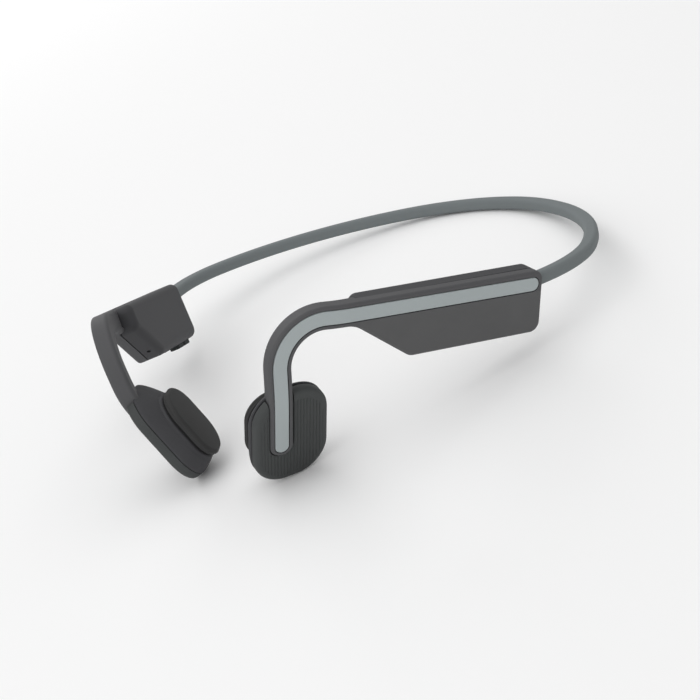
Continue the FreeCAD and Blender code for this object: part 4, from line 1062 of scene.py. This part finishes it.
@dataclass
class Transducer:
    """Ribbed cap, driver housing and contact pad at the hook's end."""

    side: Side
    width: float = 21.5
    tall: float = 29.5
    corner: float = 9.2
    cap_edge: float = 1.3
    button_thickness: float = 2.55
    housing_top: float = -3.0
    housing_end: float = -8.2
    housing_top_edge: float = 0.45
    housing_end_edge: float = 0.8
    bore_radius: float = 7.4
    bore_floor: float = -4.2
    pad_width: float = 18.0
    pad_tall: float = 21.5
    pad_corner: float = 7.6
    pad_up: float = -2.25
    pad_back: float = -8.7
    pad_face: float = -11.0
    pad_crown: float = 0.3
    pad_edge: float = 1.1
    slot_centre: float = -3.2
    slot_half: float = 3.65
    slot_end_up: float = -1.7

    def build_cap(self) -> bpy.types.Object:
        """The ribbed cap; the left one is the multifunction button."""
        is_button = self.side is Side.LEFT
        name = "multifunction_button" if is_button else "right_transducer_cap"
        thickness = self.button_thickness if is_button else -self.housing_top
        maker = MeshMaker(name, self.side)
        RibbedPlate(self.width, self.tall, self.corner, thickness, self.cap_edge, pitch=0.95, relief=0.34,
                    margin=1.5, top_margin=2.6).fill(maker, CAP.point)
        low, high = self.slot_centre - self.slot_half, self.slot_centre + self.slot_half
        foot = self.slot_end_up - self.slot_half
        loop = rounded_outline([(low, self.tall, 0), (high, self.tall, 0), (high, foot, self.slot_half),
                                (low, foot, self.slot_half)], 40, 0.2)
        cutter = MeshMaker(name + "_slot", self.side)
        ends = cutter.stack([[CAP.point(spot.x, spot.y, level) for spot in loop] for level in (-6.0, 3.0)])
        cutter.cap(ends[0])
        cutter.cap(ends[1])
        maker.cut_by = cutter
        return maker.finish(CAP_PLASTIC, name if is_button else self.side.body, "cap_plastic", [name], 30)

    def build_housing(self) -> bpy.types.Object:
        """Shell round the driver, drawn in from the cap's outline to the pad's."""
        name = self.side.word + "_transducer_housing"
        maker = MeshMaker(name, self.side)
        top = RoundedRectangle(self.width, self.tall, self.corner, self.housing_top)
        rings = [top.inset(inset, self.housing_top - drop).ring(CAP.point)
                 for inset, drop in [(2.5, 0.0), *quarter_round(self.housing_top_edge, 4)]]
        for step in range(1, 10):
            share = step / 10
            eased = share ** 1.25
            fall = self.housing_end - self.housing_top + 1.35
            level = self.housing_top - self.housing_top_edge + fall * share
            rings.append(RoundedRectangle(self.width + (self.pad_width + 0.4 - self.width) * eased,
                                          self.tall + (self.pad_tall + 0.6 - self.tall) * eased,
                                          self.corner + (self.pad_corner - self.corner) * eased,
                                          level, self.pad_up * eased).ring(CAP.point))
        end = RoundedRectangle(self.pad_width + 0.2, self.pad_tall + 0.2, self.pad_corner, self.housing_end,
                               self.pad_up)
        for inset, drop in reversed(quarter_round(self.housing_end_edge, 5)):
            rings.append(end.inset(inset, self.housing_end + drop).ring(CAP.point))
        indices = maker.stack(rings)
        bore = RoundedRectangle(self.bore_radius * 2, self.bore_radius * 2, self.bore_radius - 0.01,
                                self.housing_end, self.pad_up)
        for level in (self.housing_end, self.bore_floor):
            ring = maker.ring(bore.inset(0, level).ring(CAP.point))
            maker.bridge(indices[-1], ring)
            indices.append(ring)
        maker.cap(indices[0])
        maker.cap(indices[-1])
        return maker.finish(SHELL_COATING, self.side.body, "shell_coating", [name])

    def build_pad(self) -> bpy.types.Object:
        """Soft contact pad with a slightly crowned face."""
        name = self.side.word + "_contact_pad"
        maker = MeshMaker(name, self.side)
        outline = RoundedRectangle(self.pad_width, self.pad_tall, self.pad_corner, self.pad_back, self.pad_up)
        crown, edge = self.pad_crown, self.pad_edge
        rings = [outline.inset(0.9, self.pad_back).ring(CAP.point),
                 outline.inset(0.35, self.pad_back).ring(CAP.point),
                 outline.inset(0.2, self.pad_back - 0.15).ring(CAP.point),
                 outline.inset(0.22, self.pad_back - 0.6).ring(CAP.point)]
        shoulder = self.pad_face + crown
        for inset, drop in reversed(quarter_round(edge, 7)):
            rings.append(outline.inset(inset, shoulder + drop).ring(CAP.point))
        rounded = outline.inset(edge, shoulder)
        for step in range(1, 12):
            share = 1 - step / 12
            rings.append(rounded.scaled(share, shoulder - crown * (1 - share * share)).ring(CAP.point))
        indices = maker.stack(rings)
        maker.cap(indices[0])
        maker.cap(indices[-1])
        return maker.finish(PAD_SILICONE, self.side.word + "_vibrator", "pad_silicone", [name])

    def build(self) -> None:
        """Make the three pieces."""
        self.build_cap()
        self.build_housing()
        self.build_pad()


@dataclass
class PodControls:
    """Volume buttons and port flap under the right pod."""

    bottom: float = -13.3
    across_out: float = -1.1
    button_start: float = 6.5
    button_length: float = 6.6
    button_width: float = 3.2
    button_pitch: float = 7.4
    button_proud: float = 1.2
    button_height: float = 3.1
    flap_start: float = 25.4
    flap_length: float = 12.1
    flap_width: float = 3.8
    flap_thickness: float = 0.65

    def under(self, middle: float, level: float) -> Place:
        """Places on a plate that faces down: along the pod, across it, and downwards from a level."""
        return lambda x, y, z: POD.point(x - middle, level - z, self.across_out + y)

    def build_button(self, name: str, index: int) -> bpy.types.Object:
        """One volume button with fine ribs across its top."""
        maker = MeshMaker(name, Side.RIGHT)
        middle = self.button_start + self.button_length / 2 + self.button_pitch * index
        plate = RibbedPlate(self.button_length, self.button_width, 1.0, self.button_height, 0.4, pitch=0.75,
                            relief=0.22, margin=0.5, top_margin=0.5, rows=24)
        plate.fill(maker, self.under(middle, self.bottom - self.button_proud))
        return maker.finish(BUTTON_RUBBER, name, "button_rubber", [name], 30)

    def build_flap(self) -> bpy.types.Object:
        """Flap over the charging port, with a soft rim."""
        maker = MeshMaker("port_flap", Side.RIGHT)
        place = self.under(self.flap_start + self.flap_length / 2, self.bottom)
        outline = RoundedRectangle(self.flap_length, self.flap_width, 1.1, 0.0)
        rings = [outline.inset(0.0, -self.flap_thickness).ring(place)]
        rings += [outline.inset(inset, -drop).ring(place) for inset, drop in reversed(quarter_round(0.2, 4))]
        rings += [outline.inset(0.5, 0.0).ring(place), outline.inset(0.6, -0.1).ring(place),
                  outline.inset(1.1, -0.1).ring(place)]
        indices = maker.stack(rings)
        maker.cap(indices[0])
        maker.cap(indices[-1])
        return maker.finish(BUTTON_RUBBER, "port_flap", "button_rubber", ["port_flap"])

    def build(self) -> None:
        """Make both buttons and the flap."""
        self.build_button("volume_down_button", 0)
        self.build_button("volume_up_button", 1)
        self.build_flap()


@dataclass
class Neckband:
    """The springy band from pod to pod, with its wire and cable inside.

    One piece crosses the middle.
    """

    slope: float = 11.48
    heading: float = 27.0
    entry: float = 4.0
    bends: tuple[tuple[float, float], ...] = ((40.0, 45.0), (84.0, 44.0))
    depth: float = 4.2
    tall: float = 3.6
    corner: float = 1.2
    step: float = 1.0
    flexing: float = 55.0
    route: Route = field(init=False)

    def __post_init__(self) -> None:
        """Lay the route from the left pod to the right one; the last bend closes on the middle."""
        tilt = Matrix.Rotation(math.radians(-self.slope), 3, "X")
        heading = tilt @ Matrix.Rotation(math.radians(-self.heading), 3, "Z") @ Vector((0, 1, 0))
        normal = tilt @ Vector((0, 0, 1))
        start = Station(Vector(POD.origin) - heading * self.entry, heading, normal)
        half = [Leg(self.entry)]
        half += [Leg(radius * math.radians(turn), radius, normal) for radius, turn in self.bends]
        left = 90 + self.heading - sum(turn for _, turn in self.bends)
        reached = Route(start, half)
        last = reached.at(reached.length).point.x / math.sin(math.radians(left))
        half.append(Leg(last * math.radians(left), last, normal))
        self.route = Route(start, [*half, *reversed(half)])

    def sweep(self, name: str, section: Sequence[tuple[float, float]], finish: Finish, slot: str) -> None:
        """Sweep a section from end to end.

        Args:
            name: the piece's name, and the ending of the two nodes that it stands for.
            section: (towards the inside of the curve, up) of the section's points.
            finish: its material.
            slot: the record's material slot.
        """
        maker = MeshMaker(name)
        count = math.ceil(self.route.length / self.step)
        rings = []
        for index in range(count + 1):
            station = self.route.at(self.route.length * index / count)
            rings.append([station.point + station.side * inwards + station.out * up
                          for inwards, up in section])
        indices = maker.stack(rings)
        maker.cap(indices[0])
        maker.cap(indices[-1])
        piece = maker.finish(finish, "", slot, [f"{side.word}_{name}" for side in Side])
        middle = self.route.at(self.route.length / 2).point * MM
        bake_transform(piece)

    def build(self) -> None:
        """Make the sleeve, the spring wire and the signal cable."""
        outline = RoundedRectangle(self.depth, self.tall, self.corner, 0.0)
        corners = outline.ring(lambda x, y, z: Vector((x, y, z)), per_quarter=8, per_side=4)
        self.sweep("neckband_sleeve", [(spot.x, spot.y) for spot in corners], BAND_SILICONE, "band_silicone")
        for name, offset, radius, finish, slot in (
                ("neckband_spring_wire", 0.9, 0.6, TITANIUM, "titanium"),
                ("neckband_cable", -1.0, 0.5, CABLE_JACKET, "cable_jacket")):
            turns = [math.radians(360 * step / 16) for step in range(16)]
            section = [(offset + radius * math.cos(turn), radius * math.sin(turn)) for turn in turns]
            self.sweep(name, section, finish, slot)


@dataclass
class CarriedNodes:
    """The CAD nodes that keep their own shape and are given finishes here."""

    twins: dict[str, Finish] = field(default_factory=lambda: {
        "pod_seal": SEAL_RUBBER, "pod_shell": SHELL_COATING, "hook_wire": TITANIUM,
        "pad_surround": SEAL_RUBBER, "yoke": YOKE_STEEL, "magnet": MAGNET_NICKEL,
        "pole_plate": YOKE_STEEL, "leaf_spring": TITANIUM, "voice_coil": COIL_COPPER,
        "coil_bobbin": BOBBIN_PLASTIC})
    singles: dict[str, Finish] = field(default_factory=lambda: {
        "multifunction_switch": SWITCH_PLASTIC, "battery": CELL_FOIL, "battery_foam": FOAM,
        "main_board": BOARD_LAMINATE, "volume_switches": SWITCH_PLASTIC, "charging_port": PORT_STEEL,
        "microphone": PORT_STEEL, "status_light": LIGHT_PIPE})

    def dress(self) -> None:
        """Put each node's finish in its object's own material slots."""
        finishes = {f"{side.word}_{word}": finish for side in Side for word, finish in self.twins.items()}
        finishes.update(self.singles)
        for name, finish in finishes.items():
            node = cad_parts[name]
            node.data.shade_smooth()
            node.data.set_sharp_from_angle(angle=math.radians(30))
            for slot in node.material_slots:
                slot.link = "OBJECT"
                slot.material = finish.material()
            log.info("%s: dressed in %s", name, finish.name)


# ---------------------------------------------------------------- studio

@dataclass
class Studio:
    """Floor, soft lights and camera."""

    centre: tuple[float, float, float] = (0.0, 0.0, 20.0)
    camera_at: tuple[float, float, float] = (322.24, -409.86, 241.92)
    camera_right: tuple[float, float, float] = (0.8226, 0.4702, -0.3198)
    camera_up: tuple[float, float, float] = (0.0265, 0.5301, 0.8475)
    lens: float = 100.0
    floor_half: float = 3000.0

    def build_floor(self) -> None:
        """A plain pale floor."""
        half = self.floor_half * MM
        mesh = bpy.data.meshes.new("floor")
        mesh.from_pydata([(-half, -half, 0), (half, -half, 0), (half, half, 0), (-half, half, 0)], [],
                         [(0, 1, 2, 3)])
        floor = bpy.data.objects.new("floor", mesh)
        bpy.context.scene.collection.objects.link(floor)
        paper = bpy.data.materials.new("floor_paper")
        paper.use_nodes = True
        shader = paper.node_tree.nodes["Principled BSDF"]
        shader.inputs["Base Color"].default_value = (0.95, 0.95, 0.95, 1)
        shader.inputs["Roughness"].default_value = 0.9
        shader.inputs["Specular IOR Level"].default_value = 0.1
        mesh.materials.append(paper)

    def add_light(self, name: str, at: tuple[float, float, float], size: tuple[float, float],
                  power: float) -> None:
        """A soft rectangular light that faces the object; places and sizes in millimetres."""
        light = bpy.data.lights.new(name, "AREA")
        light.shape = "RECTANGLE"
        light.size, light.size_y = size[0] * MM, size[1] * MM
        light.energy = power
        lamp = bpy.data.objects.new(name, light)
        lamp.location = Vector(at) * MM
        towards = Vector(self.centre) * MM - lamp.location
        lamp.rotation_euler = towards.to_track_quat("-Z", "Y").to_euler()
        bpy.context.scene.collection.objects.link(lamp)

    def build_lights(self) -> None:
        """An even pale room, a large key, an overhead box and a rim from behind."""
        world = bpy.data.worlds.new("room")
        bpy.context.scene.world = world
        world.use_nodes = True
        world.node_tree.nodes["Background"].inputs["Color"].default_value = (1, 1, 1, 1)
        world.node_tree.nodes["Background"].inputs["Strength"].default_value = 0.45
        self.add_light("key", (100, -900, 800), (1300, 1300), 6.0)
        self.add_light("overhead", (-150, 200, 1000), (1800, 1400), 5.0)
        self.add_light("rim", (-800, 600, 450), (600, 450), 2.0)

    def build_camera(self) -> None:
        """The camera, rolled so that the object lies level across the frame."""
        data = bpy.data.cameras.new("camera")
        data.lens = self.lens
        data.sensor_width = 36.0
        data.clip_start = 0.01
        camera = bpy.data.objects.new("camera", data)
        right, up = Vector(self.camera_right).normalized(), Vector(self.camera_up).normalized()
        back = right.cross(up).normalized()
        turned = Matrix((right, back.cross(right), back)).transposed().to_4x4()
        camera.matrix_world = Matrix.Translation(Vector(self.camera_at) * MM) @ turned
        bpy.context.scene.collection.objects.link(camera)
        bpy.context.scene.camera = camera

    def build(self) -> None:
        """Set the stage."""
        self.build_floor()
        self.build_lights()
        self.build_camera()
        bpy.context.scene.view_settings.view_transform = "Standard"


def main() -> None:
    """Build every sub-assembly, dress the carried nodes and set the stage."""
    logging.basicConfig(level=logging.INFO, format="%(name)s: %(message)s")
    for side in Side:
        EarHook(side).build()
        Transducer(side).build()
    PodControls().build()
    Neckband().build()
    CarriedNodes().dress()
    Studio().build()


if __name__ == "__main__":
    main()
